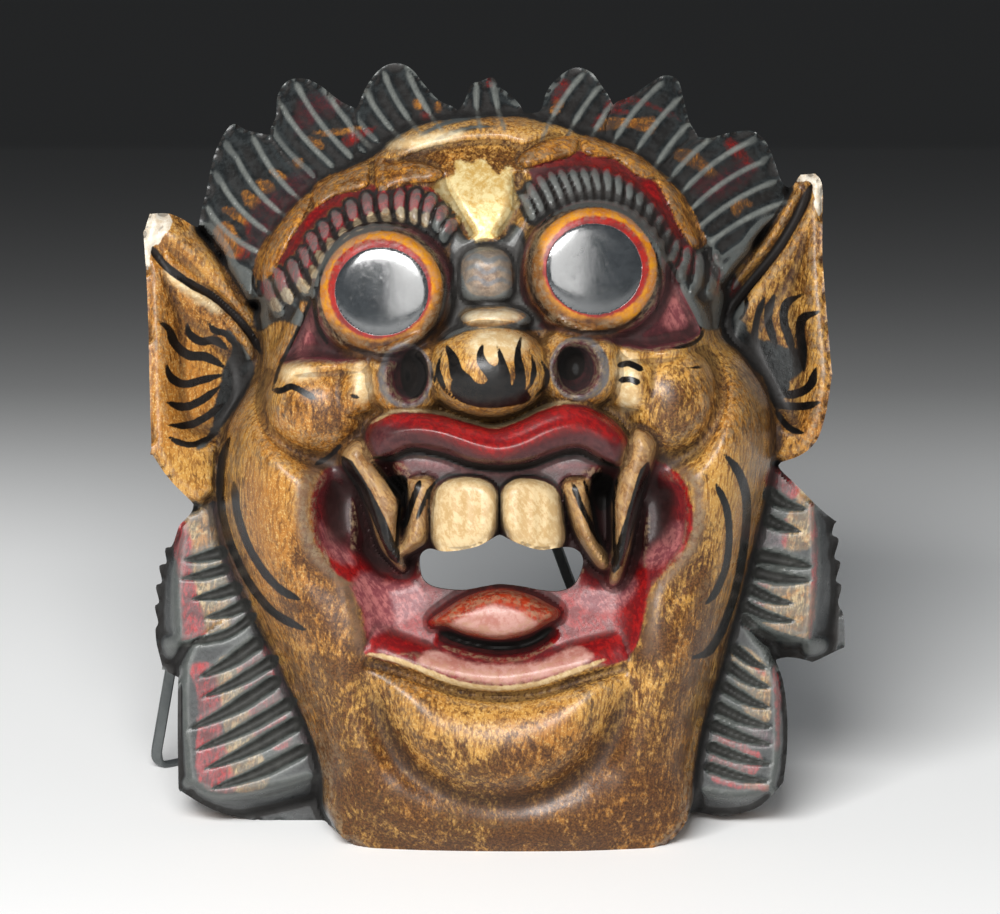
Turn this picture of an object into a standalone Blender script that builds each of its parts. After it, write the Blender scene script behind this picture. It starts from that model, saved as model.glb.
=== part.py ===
"""Carved wooden barong mask leaning on its bent metal easel. Metres, +Z up, face towards -Y."""
import math

import bmesh
import bpy
import numpy as np

# Sizes of the mask, in metres
MASK_HEIGHT = 0.270
MASK_WIDTH = 0.240
MASK_DEPTH = 0.118
WALL = 0.012
RIM_WIDTH = 0.014
EAR_THICKNESS = 0.012
TUFT_THICKNESS = 0.024
SIDE_TUFT_BACK = 0.006
LEAN = math.radians(15.0)
CHIN_TRIM = 0.0134
CARVING_STEP = 0.0017
MASK_FACETS = 9300

# Sizes of the easel, in metres
STRIP_WIDTH = 0.0038
STRIP_THICKNESS = 0.0018
STAND_CENTRE_X = -0.011
STAND_HEIGHT = 0.215
FOOT_HALF_SPAN = 0.110
TOP_HALF_SPAN = 0.073
FOOT_BACK = 0.073
RUNNER_DEPTH = 0.085
BEND_RADIUS = 0.006
CORNER_RADIUS = 0.014
STRUT_TOP_HALF_SPAN = 0.010
STRUT_FOOT_SHARE = 0.44
FIT_GAP = 0.0003

# The carving is drawn on a block 240 wide, 270 high and 118 deep, in millimetres
# Metres to one drawn millimetre
SCALE_X = MASK_WIDTH / 240.0
SCALE_Z = MASK_HEIGHT / 270.0
SCALE_R = MASK_DEPTH / 118.0
HOLLOW_ROUNDING = 30.0
HOLLOW_DEPTHS = [(-20, 8), (20, 10), (40, 34), (60, 44), (90, 45), (125, 46), (160, 60), (190, 64),
                 (215, 58), (240, 44), (262, 30)]

# The mask stands with the middle of its chin's flat at the origin
FLAT_MIDDLE = 26.0 * SCALE_R
FLAT_Z = CHIN_TRIM - FLAT_MIDDLE * math.tan(LEAN)
MASK_Y = FLAT_MIDDLE * math.cos(LEAN) - FLAT_Z * math.sin(LEAN)
MASK_Z = -CHIN_TRIM * math.cos(LEAN)


def smooth_line(points, closed=False, steps=5):
    """Catmull-Rom curve through a few points."""
    p = np.array(points, float)
    if closed:
        p = np.vstack([p[-1:], p, p[:2]])
    else:
        p = np.vstack([2 * p[0] - p[1], p, 2 * p[-1] - p[-2]])
    t = np.linspace(0, 1, steps, endpoint=False)[:, None]
    parts = []
    for a, b, c, d in zip(p, p[1:], p[2:], p[3:]):
        bend = 2 * a - 5 * b + 4 * c - d
        twist = 3 * b - a - 3 * c + d
        parts.append(0.5 * (2 * b + (c - a) * t + bend * t ** 2 + twist * t ** 3))
    if not closed:
        parts.append(p[-2:-1])
    return np.vstack(parts)


def profile(values, at):
    """Smooth curve through (position, value) pairs."""
    curve = smooth_line(values, steps=8)
    return np.interp(at, curve[:, 0], curve[:, 1])


def fade(t):
    t = np.clip(t, 0, 1)
    return t * t * (3 - 2 * t)


def measure(x, z, line, closed=False):
    """Distance to a line, negative inside a closed one, and the place along it from 0 to 1."""
    ends = np.roll(line, -1, axis=0) if closed else line[1:]
    starts = line if closed else line[:-1]
    steps = np.hypot(*(ends - starts).T)
    total = steps.sum()
    best = np.full(x.shape, 1e12)
    along = np.zeros(x.shape)
    inside = np.zeros(x.shape, bool)
    done = 0.0
    for a, b, step in zip(starts, ends, steps):
        e = b - a
        if step < 1e-9:
            continue
        t = np.clip(((x - a[0]) * e[0] + (z - a[1]) * e[1]) / step ** 2, 0, 1)
        away = (x - a[0] - t * e[0]) ** 2 + (z - a[1] - t * e[1]) ** 2
        near = away < best
        best = np.where(near, away, best)
        along = np.where(near, (done + t * step) / total, along)
        done += step
        if closed and a[1] != b[1]:
            crosses = ((a[1] > z) != (b[1] > z)) & (x < e[0] * (z - a[1]) / e[1] + a[0])
            inside ^= crosses
    best = np.sqrt(best)
    return np.where(inside, -best, best), along


class Carving:
    """Depth in front of the back rim, worked feature by feature."""

    def __init__(self, x, z):
        self.x = x
        self.z = z
        self.r = np.zeros_like(x)

    def near(self, points, reach, closed, smooth=True):
        line = smooth_line(points, closed) if smooth else np.array(points, float)
        lo = line.min(axis=0) - reach
        hi = line.max(axis=0) + reach
        spot = np.where((self.x > lo[0]) & (self.x < hi[0]) & (self.z > lo[1]) & (self.z < hi[1]))[0]
        away, along = measure(self.x[spot], self.z[spot], line, closed)
        return spot, away, along

    def swell(self, points, rise, reach):
        """Raise a closed area like a cushion: round at its edge, flat beyond the reach."""
        spot, away, _ = self.near(points, 0.5, True)
        t = np.clip(-away / reach, 0, 1)
        self.r[spot] += rise * np.sqrt(1 - (1 - t) ** 2)

    def lay(self, points, height, edge=1.5, shoulder=0.0, reach=4.0, smooth=True):
        """Cover a closed area with a surface of its own, its edge rolled down by shoulder."""
        spot, away, _ = self.near(points, edge, True, smooth)
        top = height(self.x[spot], self.z[spot]) if callable(height) else height
        t = np.clip(-away / reach, 0, 1)
        top = top - shoulder * (1 - np.sqrt(1 - (1 - t) ** 2))
        mix = fade(0.5 - away / edge)
        self.r[spot] = self.r[spot] * (1 - mix) + top * mix

    def ridge(self, points, rise, width, ends=0.12):
        """A rounded ridge along a path, or a groove where the rise is negative."""
        spot, away, along = self.near(points, width, False)
        t = np.clip(np.abs(away) / width, 0, 1)
        tip = 1.0 if ends == 0 else np.clip(np.minimum(along, 1 - along) / ends, 0, 1) ** 0.5
        self.r[spot] += rise * (1 - t * t) ** 2 * tip

    def ball(self, cx, cz, rx, rz, top, drop, blend=0.0):
        """An ellipsoid boss whose rim lies drop below its top."""
        q = ((self.x - cx) / rx) ** 2 + ((self.z - cz) / rz) ** 2
        spot = np.where(q < 1)[0]
        height = top - drop * (1 - np.sqrt(1 - q[spot]))
        if blend:
            gap = np.clip((height - self.r[spot]) / blend + 0.5, 0, 1)
            self.r[spot] = self.r[spot] + (height - self.r[spot]) * gap + blend * 0.5 * gap * (1 - gap)
        else:
            self.r[spot] = np.maximum(self.r[spot], height)

    def pit(self, points, floor, edge):
        """Sink a closed area to a floor, with walls as wide as the edge."""
        spot, away, _ = self.near(points, edge, True)
        low = floor(self.x[spot], self.z[spot]) if callable(floor) else floor
        mix = fade(-away / edge)
        self.r[spot] = np.minimum(self.r[spot], self.r[spot] * (1 - mix) + low * mix)


# Outlines
FACE = [(-28, 248.5), (-42, 239), (-62, 228), (-76, 216), (-84, 200), (-83, 184), (-82, 168), (-87, 157),
        (-95, 144), (-98, 128), (-97, 108), (-91, 91), (-83, 75), (-74, 57), (-66, 40), (-61.5, 25),
            (-61, 14),
        (-54, 4), (-42, -3), (-28, -14), (38, -14), (50, -3), (60, 4), (66, 14), (67, 27), (70, 42),
            (75, 58), (80, 76), (86, 98), (92, 122),
        (95, 142), (92, 156), (84, 168), (76, 178), (77, 192), (70, 209), (60, 228), (46, 238),
            (30, 244.5),
        (16, 249.5), (0, 251.5)]
EAR_LEFT = [(-122, 212), (-119.5, 218), (-113, 217.5), (-105, 213.5), (-97, 204.5), (-88, 191),
            (-78, 178),
            (-70, 165), (-70, 140), (-90, 120), (-103, 118), (-115, 130), (-119.5, 139), (-120, 160),
                (-120.5, 190)]
EAR_RIGHT = [(103, 231), (107, 231.5), (110.3, 227), (110.7, 205), (112.5, 180), (113.5, 163),
             (111.5, 148),
             (107, 138), (96, 133), (80, 135), (66, 160), (68, 178), (78, 196), (89, 209), (97, 221)]
TUFTS = [
    dict(outer=[(-96, 205), (-103, 214), (-101, 226), (-98.5, 238), (-95, 246), (-91.5, 249.3),
                (-87, 247), (-78, 245), (-68, 243)],
         inner=[(-60, 232), (-70, 200), (-88, 188)], ribs=6, r0=[(-86, 204), (-66, 237)],
             r1=[(-103, 220), (-77, 246)]),
    dict(outer=[(-78, 243), (-77, 252), (-76.5, 259), (-73.5, 263.8), (-68, 265), (-62, 262.5),
                (-55, 257), (-46, 251)],
         inner=[(-42, 235), (-60, 225)], ribs=4, r0=[(-68, 241), (-44, 247)], r1=[(-77, 253),
                                                                                  (-57, 262)]),
    dict(outer=[(-50, 249), (-48, 257), (-45, 263.5), (-40.5, 268.5), (-35.5, 270), (-30.5, 268),
                (-26, 262.5), (-21, 257), (-14, 252.5)],
         inner=[(-14, 240), (-45, 232)], ribs=4, r0=[(-40, 246), (-17, 252)], r1=[(-48, 258),
                                                                                  (-27, 266)]),
    dict(outer=[(-15, 251), (-12, 257), (-10, 262.3), (-6.5, 263.6), (-2.5, 265), (0, 261.5),
                (4, 258.5), (8, 252.5)],
         inner=[(8, 240), (-15, 240)], ribs=3, r0=[(-13, 250), (6, 250)], r1=[(-11, 263), (4, 263)]),
    dict(outer=[(6, 251.5), (13.5, 253), (16, 260), (20, 265), (25.5, 268.3), (31, 267), (35, 262),
                (38.5, 256)],
         inner=[(44, 240), (10, 240)], ribs=3, r0=[(15, 248), (34, 244)], r1=[(21, 268), (41, 258)]),
    dict(outer=[(38, 254), (45, 258.5), (50, 262), (56, 265.7), (61, 264.5), (63, 258), (65, 250),
                (68, 242)],
         inner=[(60, 228), (38, 238)], ribs=4, r0=[(36, 245), (56, 237)], r1=[(46, 262), (66, 248)]),
    dict(outer=[(64, 243), (72, 244.2), (80, 246.3), (87, 246.7), (91.5, 243), (94.5, 236),
                (96.5, 230), (99, 225.5), (97, 219), (88, 209)],
         inner=[(76, 190), (54, 225)], ribs=6, r0=[(55, 234), (76, 204)], r1=[(75, 249), (101, 221)]),
]
SIDES = [
    dict(out=[(-96, 120), (-104, 116.5), (-110, 110.5), (-114, 102), (-117, 92), (-118, 80),
              (-118, 70), (-115.5, 62), (-109, 59), (-98, 60), (-70, 70), (-80, 100)],
         face=[(-90, 124), (-104, 117), (-109, 109), (-111, 96), (-111, 84), (-110, 71), (-100, 71),
               (-84, 80), (-78, 100)]),
    dict(out=[(-104, 72), (-110.5, 62), (-110.7, 40), (-110.7, 22), (-108, 17), (-99, 13),
              (-84, 9.5), (-66, 8), (-50, 12), (-60, 50), (-80, 82)],
         face=[(-103, 72), (-108.5, 62), (-108.5, 42), (-107, 24), (-98, 18), (-82, 20), (-62, 25.5),
               (-50, 30), (-60, 50), (-80, 82)]),
    dict(out=[(88, 133), (94.5, 131.5), (102, 125), (110, 117), (115.5, 112), (116.5, 98), (117, 84),
              (118.7, 69), (108, 64.5), (99, 65.5), (80, 64), (78, 100)],
         face=[(86, 135), (94.5, 131.5), (102, 125), (108, 116), (108.5, 98), (107.5, 82),
               (106, 71.5), (92, 75), (76, 80), (80, 110)]),
    dict(out=[(78, 78), (93, 68), (97, 58), (98.5, 46), (98.5, 34), (97, 24), (91, 15.5), (82, 12),
              (72, 11.5), (58, 18), (62, 50)],
         face=[(78, 78), (91, 68), (95, 58), (95.5, 44), (95.3, 30), (93.5, 20), (82, 18), (69, 20),
               (58, 24), (62, 50)]),
]
MOUTH_HOLE = [(-27.5, 98), (-26.3, 92.8), (-22, 90), (-13, 89), (-5, 90.3), (0, 91), (7, 90.3), (14, 89),
              (20.5, 88.7), (25.5, 91), (28.3, 97), (28, 101), (25, 103.5), (20, 103.8), (14, 103),
                  (8, 104.5),
              (3, 106.7), (0, 108), (-2.5, 107), (-7, 104.5), (-13, 103), (-19, 102.5), (-24, 103.3),
                  (-27, 101.5)]


def outline(x, z):
    """Distance to the carving's edge in mm, negative in the wood, and to the face alone."""
    loops = [EAR_LEFT, EAR_RIGHT] + [t['outer'] + t['inner'] for t in TUFTS] + [s['out'] for s in SIDES]
    face = measure(x, z, smooth_line(FACE, True), True)[0]
    edge = face
    for loop in loops:
        edge = np.minimum(edge, measure(x, z, smooth_line(loop, True), True)[0])
    hole = measure(x, z, smooth_line(MOUTH_HOLE, True), True)[0]
    return np.maximum(edge, -hole), face


def tuft_height(x, z):
    out = np.hypot(x / 88, (z - 165) / 85)
    return 60 - 58 * np.maximum(out - 1, -0.2)


def ear_height(x, z):
    return 36 + 0.42 * np.maximum(np.abs(x) - 80, -10) - 0.02 * (z - 165)


def middle_depth(z):
    return profile([(-20, 56), (0, 60), (20, 66), (55, 71), (90, 74), (125, 82), (160, 90),
                    (190, 88), (215, 86), (240, 80), (262, 66)], z)


def edge_depth(z):
    return profile([(-20, 46), (10, 46), (40, 34), (80, 30), (150, 32), (185, 42), (215, 50),
                    (240, 60), (262, 62)], z)


def fan(r0, r1, share, bow):
    """A line between two rows of points, bowed to one side."""
    a = np.array(r0[0]) + (np.array(r0[1]) - r0[0]) * share
    b = np.array(r1[0]) + (np.array(r1[1]) - r1[0]) * share
    mid = (a + b) / 2 + bow * np.array([b[1] - a[1], a[0] - b[0]])
    return [tuple(a), tuple(mid), tuple(b)]


def outer_parts(x, z, face):
    """Hair tufts, ears and side tufts, then the block of the face over them."""
    c = Carving(x, z)
    # hair tufts round the head
    for tuft in TUFTS:
        c.lay(tuft['outer'] + tuft['inner'], tuft_height, shoulder=7, reach=6)
        lean = 1 if tuft['r1'][0][0] < tuft['r0'][0][0] else -1
        for i in range(tuft['ribs']):
            share = (i + 0.5) / tuft['ribs']
            c.ridge(fan(tuft['r0'], tuft['r1'], share, 0.10 * lean), 2.2, 1.6, 0.0)
            share = i / tuft['ribs']
            c.ridge(fan(tuft['r0'], tuft['r1'], share, 0.10 * lean), -1.6, 2.6, 0.0)
    # ears
    for side, ear in ((-1, EAR_LEFT), (1, EAR_RIGHT)):
        c.lay(ear, ear_height, shoulder=4, reach=4)
    c.pit([(-117, 200), (-104, 189), (-92, 179), (-84, 168), (-84, 150), (-95, 138), (-108, 138),
           (-116, 150), (-117, 175)], lambda x, z: ear_height(x, z) - 6, 9)
    c.pit([(107, 215), (96, 203), (86, 189), (80, 175), (86, 158), (96, 143), (106, 143), (110, 160),
           (108, 185)], lambda x, z: ear_height(x, z) - 6, 9)
    c.ridge([(-117, 203), (-105, 192.5), (-95, 185), (-88, 177), (-85, 168)], 3.0, 3.5)
    c.ridge([(-120, 207.5), (-115, 200.5), (-107, 194.5), (-99, 190), (-92, 184), (-85, 176),
             (-81, 170)], -3.0, 2.8)
    c.ridge([(-116, 213), (-107, 207), (-98, 198), (-90, 188), (-82, 177)], 3.0, 5.0)
    c.ridge([(106, 229), (102, 218), (96, 207.5), (89, 198.5), (82, 190), (77, 183)], -3.2, 3.6)
    c.ridge([(102, 227), (97, 217), (90, 206.5), (83, 199), (77, 190)], 3.0, 4.0)
    # side tufts with their grooves
    for side in SIDES:
        spot, away, _ = c.near(side['out'], 1.5, True)
        out, _ = measure(c.x[spot], c.z[spot], smooth_line(side['face'], True), True)
        top = 36 - 20 * np.clip(out / 8.0, 0, 1)
        mix = fade(0.5 - away / 1.5)
        c.r[spot] = c.r[spot] * (1 - mix) + top * mix
    for cut in GROOVES:
        x0, z0 = cut['start']
        x1, z1 = cut['end']
        step = cut['step']
        for i in range(cut['count']):
            c.ridge([(x0 + i * step[0], z0 - i * step[1]),
                     ((x0 + x1) / 2 + i * (step[0] + step[2]) / 2, (z0 + z1) / 2 - i * step[1] - 0.6),
                     (x1 + i * step[2], z1 - i * step[1])], -4.5, cut['width'], 0.05)
    # the face block
    reach = 40.0
    u = np.clip(1 + face / reach, 0, 1)
    low = edge_depth(z)
    base = low + (middle_depth(z) - low) * np.sqrt(1 - u ** 2)
    mix = fade(0.5 - face / 2.0)
    c.r = c.r * (1 - mix) + base * mix
    return c


GROOVES = [
    dict(start=(-109, 99.5), end=(-95, 103), count=1, step=(0, 0, 0), width=2.2),
    dict(start=(-108, 93), end=(-92.5, 97), count=3, step=(1.6, 7.0, 3.4), width=2.2),
    dict(start=(-117, 70.5), end=(-84, 80), count=1, step=(0, 0, 0), width=2.2),
    dict(start=(-105, 60), end=(-78, 71), count=7, step=(0.3, 6.9, 3.0), width=2.3),
    dict(start=(91, 124), end=(105, 121.5), count=2, step=(-0.5, 7.0, 0.5), width=2.0),
    dict(start=(87, 103), end=(108, 99.5), count=4, step=(-2.0, 7.0, -1.2), width=2.3),
    dict(start=(77, 70.5), end=(93, 60), count=8, step=(-1.0, 7.1, 0.2), width=2.2),
]


EYES = {-1: dict(c=(-38.5, 191.5), r=(16.5, 15.8), ring=(21.5, 21.2)),
        1: dict(c=(31.5, 198.5), r=(16.2, 15.2), ring=(21.6, 20.6))}
MOUTH = [(-54, 132), (-61, 129), (-64.5, 118), (-63, 106), (-57, 98), (-51, 91), (-47, 80),
         (-45, 70), (-42, 66),
         (-27, 62), (-10, 56), (0, 55), (12, 56.5), (28, 62), (40, 64), (46, 70), (49, 80), (51, 89),
             (58, 97),
         (63.5, 105), (65, 115), (63, 125), (57, 131), (50, 134), (40, 132), (20, 134), (0, 131),
             (-20, 134), (-44, 134)]
LIP = [(-46, 141), (-43, 147.5), (-37, 150), (-30, 150.3), (-20, 149.3), (-10, 146.5), (-2, 145),
       (6, 147.2),
       (13, 150.5), (21, 153), (30, 151.8), (38, 147.5), (43, 142), (43, 136), (40, 131), (33, 134),
           (27, 137),
       (20, 136), (10, 132.5), (0, 131.3), (-10, 132.5), (-20, 136), (-30, 137.3), (-37, 134.5),
           (-43, 133.5)]
TOOTH_L = [(-23.7, 110), (-23, 121), (-19.5, 126), (-12, 127.8), (-4.5, 126.5), (-0.8, 122),
           (-0.6, 113), (-2, 108), (-7, 104.3), (-14, 102.6), (-20, 102.4), (-23, 105)]
TOOTH_R = [(0.2, 113), (0.3, 122), (4, 126.6), (10, 127.3), (17, 125.5), (20.8, 120.5), (22, 112),
           (22.2, 106), (19.5, 103.4), (14, 102.8), (8, 104.5), (2.5, 107.5)]
FANG_L = [(-22, 127), (-23.5, 116), (-24.5, 107), (-27, 104), (-35.5, 100), (-33, 108), (-31.5, 117),
          (-31.5, 127)]
FANG_R = [(21, 126), (23.5, 114), (27, 106), (33, 97.5), (36.8, 96.8), (36.8, 101), (33, 108),
          (31, 118), (30, 127)]
TUSK_L = [(-54, 134), (-51, 139), (-47, 140.5), (-43, 134), (-37, 126), (-33, 120), (-34, 112),
          (-33.5, 103), (-32.5, 96), (-36, 98), (-41, 104), (-44, 113), (-48, 124)]
TUSK_R = [(45, 143), (48.5, 143.8), (52, 141.5), (53.3, 137.5), (51.5, 131), (48.5, 122), (46, 112),
          (44, 102), (41, 93), (37.8, 91.5), (37.8, 98), (38.2, 108), (38, 120), (41, 132)]
TONGUE = [(-24, 78), (-18, 83.3), (-10, 87.8), (0, 89.8), (10, 87.8), (17, 84.3), (20.5, 81),
          (16, 77.5), (9, 74), (0, 72.3), (-10, 73.6), (-18, 76.5)]
CHIN = [(-45, 62), (-40, 50), (-35, 38.5), (-27, 28), (-14, 20), (0, 18), (12, 20), (23, 27),
        (32, 37.5), (38, 49), (43, 61), (30, 60), (15, 54), (0, 52), (-15, 54), (-30, 60)]
LEAVES = [
    [(-84.5, 197), (-82, 206), (-75, 215.5), (-66.5, 224.5), (-65, 221), (-72, 208), (-79, 196)],
    [(-64, 227), (-56, 232), (-46, 235), (-44.5, 231), (-46, 226.5), (-56, 224), (-63, 220)],
    [(-42.5, 238), (-38, 236), (-28, 235.5), (-20, 232), (-22, 228.5), (-32, 227.5), (-42, 226)],
    [(6.5, 236.5), (12, 241.5), (20, 244), (26.5, 244), (25, 238), (16, 235), (9, 233.5)],
    [(28, 244.3), (37, 242.5), (45, 239.5), (51, 235.5), (53.5, 231.5), (47, 230.5), (40, 236),
     (29, 238)],
    [(54, 230), (60, 227.5), (65, 221), (69, 213), (70.5, 207.5), (66, 206), (61, 213.5), (57, 222)],
]
CAP = [(-42, 236.5), (-38.5, 242.8), (-29, 248), (-15, 251.2), (0, 251.3), (11, 249.3),
       (18.7, 247.8), (15.5, 244), (8.5, 241.2), (0, 243), (-12, 242.5), (-25, 240), (-35, 236)]


def front(x, z, face):
    """The whole front, laid on from the hair forward to the brows."""
    c = outer_parts(x, z, face)
    # outer cheeks and the valley beside the inner ones
    c.ridge([(-78, 168), (-84, 148), (-84, 124), (-79, 102), (-70, 84), (-60, 68), (-56, 46),
             (-50, 24)], 11, 20, 0.3)
    c.ridge([(76, 172), (82, 158), (83, 138), (80, 114), (73, 92), (62, 74), (56, 52),
             (52, 26)], 11, 20, 0.3)
    c.ridge([(-73, 152), (-68, 140), (-66, 126), (-66, 112)], 4, 9)
    c.ridge([(-80, 163), (-77, 150), (-71, 140), (-62, 134.5)], -9, 6, 0.2)
    c.ridge([(70, 168), (70, 154), (66, 143), (57, 136)], -8, 6, 0.2)
    # inner cheeks
    c.ball(-61, 152, 18, 16, 95, 14, 5)
    c.ball(56, 154, 16, 18, 95, 14, 5)
    # jaw
    c.ridge([(-60, 40), (-40, 20), (-18, 10), (10, 7), (35, 12), (58, 30)], 4, 14, 0.3)
    c.swell(CHIN, 13, 26)
    c.ridge([(-47, 60), (-41, 42), (-30, 26), (-14, 17.5), (2, 15.5), (16, 19), (30, 30), (40, 46),
             (45, 60)], -3.5, 7)
    # mouth: rim, hollow, lower lip
    c.ridge([(-63, 134), (-67, 120), (-66, 106), (-60, 96.5), (-53, 89), (-49.5, 79),
             (-47.5, 69)], 5, 6, 0.3)
    c.ridge([(56, 134), (66, 126), (68, 114), (65.5, 102), (59, 94), (53, 86), (51, 77),
             (49, 69)], 5, 6, 0.3)
    c.ridge([(-49, 66), (-42, 62.5), (-28, 59), (-14, 53), (0, 50.5), (14, 52.5), (30, 58),
             (46, 62)], -7, 5, 0.15)

    def throat(px, pz):
        side = np.clip((np.abs(px) - 26) / 22, 0, 1)
        low = 72 - 3 * np.clip((pz - 62) / 30, 0, 1)
        high = 72 - 12 * np.sin(side * np.pi)
        return low + (high - low) * fade((pz - 88) / 14)
    c.pit(MOUTH, throat, 9)
    c.ridge([(-46, 69), (-36, 66), (-26, 62.5), (-12, 58.5), (0, 57.5), (12, 59), (28, 63.5),
             (44, 67)], 9, 6, 0.08)
    c.ridge([(-63, 120), (-61, 106), (-54, 97), (-48, 88), (-45, 76)], 3, 4)
    c.ridge([(62, 122), (62, 108), (56, 97), (49, 88), (46.5, 76)], 3, 4)
    c.ridge([(-21, 74.5), (-10, 70.8), (0, 69.5), (10, 70.8), (19, 76)], -6, 3.5)
    c.lay(TONGUE, 86, 1.5, shoulder=8, reach=9)
    # gum, teeth, tusks
    c.lay([(-32, 137), (-33, 128), (-24, 122), (0, 121), (22, 122), (32, 128), (32, 136),
           (0, 134)], 95, 2, shoulder=3, reach=4)
    c.lay(FANG_L, 96, 1.2, shoulder=6, reach=5)
    c.lay(FANG_R, 96, 1.2, shoulder=6, reach=5)
    for tooth in (TOOTH_L, TOOTH_R):
        c.lay(tooth, 102, 1.0, shoulder=6, reach=5)
    c.lay(TUSK_L, 99, 1.5, shoulder=8, reach=6)
    c.lay(TUSK_R, 99, 1.5, shoulder=8, reach=6)
    c.lay(LIP, 103, 1.5, shoulder=1, reach=3)
    c.swell(LIP, 9, 7)
    # nose
    c.ridge([(-48, 168), (-46, 158), (-46, 148)], 8, 9, 0.3)
    c.ridge([(44, 170), (43, 160), (42, 151)], 8, 9, 0.3)
    c.ball(-31, 162, 13, 15, 107, 14, 4)
    c.ball(26.5, 165, 14, 14, 107, 14, 4)
    c.ball(-4, 163.5, 21.5, 15.5, 118, 22, 4)
    for cx, cz, rx, rz in ((-30, 163, 6, 8.3), (26, 165.5, 7.8, 8.3)):
        loop = [(cx + rx * np.cos(a), cz + rz * np.sin(a)) for a in np.arange(8) * np.pi / 4]
        c.pit(loop, 92, 3)
    c.ball(-1.5, 181.5, 12, 4.4, 103, 8, 2)
    c.lay([(-14, 191), (-13, 202), (-8, 206), (0, 205.5), (4.5, 200), (4.5, 190), (0, 186.5),
           (-9, 186.5)], 98, 2, shoulder=8, reach=7)
    # eyes
    for side in (-1, 1):
        eye = EYES[side]
        cx, cz = eye['c']
        rx, rz = eye['ring']
        q = np.hypot((c.x - cx) / rx, (c.z - cz) / rz)
        moat = 82 + 26 * np.sqrt(np.clip(1 - (q / 1.6) ** 2, 0, 1)) - 6
        mix = fade((1.32 - q) / 0.2)
        c.r = c.r * (1 - mix) + moat * mix
        top = 82 + 26 * np.sqrt(np.clip(1 - (q / 1.35) ** 2, 0, 1))
        inner = eye['r'][0] / rx
        band = 1.6 * np.sqrt(np.clip(1 - ((q - (inner + 1) / 2) / ((1 - inner) / 2)) ** 2, 0, 1))
        top = np.where(q > inner, top - 1.2 + band, top + 1.4 * np.sqrt(np.clip(1 - (q / inner) ** 8,
                                                                                0, 1)) - 0.8)
        mix = fade((1.0 - q) / 0.06 + 0.5)
        c.r = c.r * (1 - mix) + top * mix
    # lids
    c.ridge([(-62, 196), (-66, 187), (-71, 175), (-75, 166.5), (-62, 166.5), (-48, 167.5),
             (-34, 172), (-24, 176)], 4, 4, 0.1)
    c.ridge([(48, 213), (57, 202), (63, 192), (69, 178), (60, 172), (48, 171), (36, 174), (24, 178),
             (14, 182)], 4, 4, 0.1)
    # brows
    for side, inner, outer, angles, n in (
            (-1, 23.5, [(20, 33), (60, 34.5), (95, 35), (140, 32), (165, 38), (195, 44)], (25, 192), 19),
            (1, 23.5, [(150, 38), (120, 36), (90, 34), (60, 33), (25, 33), (0, 36), (-20, 42)],
             (150, -12), 19)):
        cx, cz = EYES[side]['c']
        for i in range(n):
            a = angles[0] + (angles[1] - angles[0]) * i / (n - 1)
            order = sorted(outer)
            r1 = np.interp(a, [o[0] for o in order], [o[1] for o in order])
            pts = [(cx + r * np.cos(np.radians(a + t)),
                    cz + r * np.sin(np.radians(a + t))) for r, t in ((inner, 0),
                    ((inner + r1) / 2, -3), (r1, 0))]
            c.ridge(pts, 4.2, 2.6, 0.15)
    for leaf in LEAVES:
        c.swell(leaf, 4.5, 3)
    c.swell(CAP, 4, 4)
    c.ridge([(-22, 231), (-16, 219), (-10, 209)], -3, 4)
    c.ridge([(6, 232), (6, 220), (0, 209)], -3, 4)
    c.pit([(-8.5, 224), (-4, 224.5), (-3.3, 220.5), (-8, 220.5)], 84, 1.0)
    return c


def hollow(x, z, face, front_depth):
    """Depth of the back surface: a flat rim, the hollow inside it, and the backs of ears and tufts."""
    rim = RIM_WIDTH / SCALE_X
    inner = np.clip((-face - rim) / HOLLOW_ROUNDING, 0, 1)
    bowl = profile(HOLLOW_DEPTHS, z) * np.sqrt(1 - (1 - inner) ** 2)
    back = np.where(face < 0, bowl, 0.0)
    ears = np.minimum(*[measure(x, z, smooth_line(ear, True), True)[0] for ear in (EAR_LEFT, EAR_RIGHT)])
    sides = np.minimum.reduce([measure(x, z, smooth_line(s['out'], True), True)[0] for s in SIDES])
    behind_ear = ear_height(x, z) - EAR_THICKNESS / SCALE_R
    behind_tuft = tuft_height(x, z) - TUFT_THICKNESS / SCALE_R
    behind_side = np.full_like(x, SIDE_TUFT_BACK / SCALE_R)
    outer = np.where(ears < 0.5, behind_ear, behind_tuft)
    outer = np.where(sides < 0.5, behind_side, outer)
    step = fade((face - 0.5) / 4.0)
    back = back * (1 - step) + np.maximum(outer, 2.0) * step
    return np.minimum(back, front_depth - WALL / SCALE_R * np.where(face < 0, 1.0, 0.6))


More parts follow.
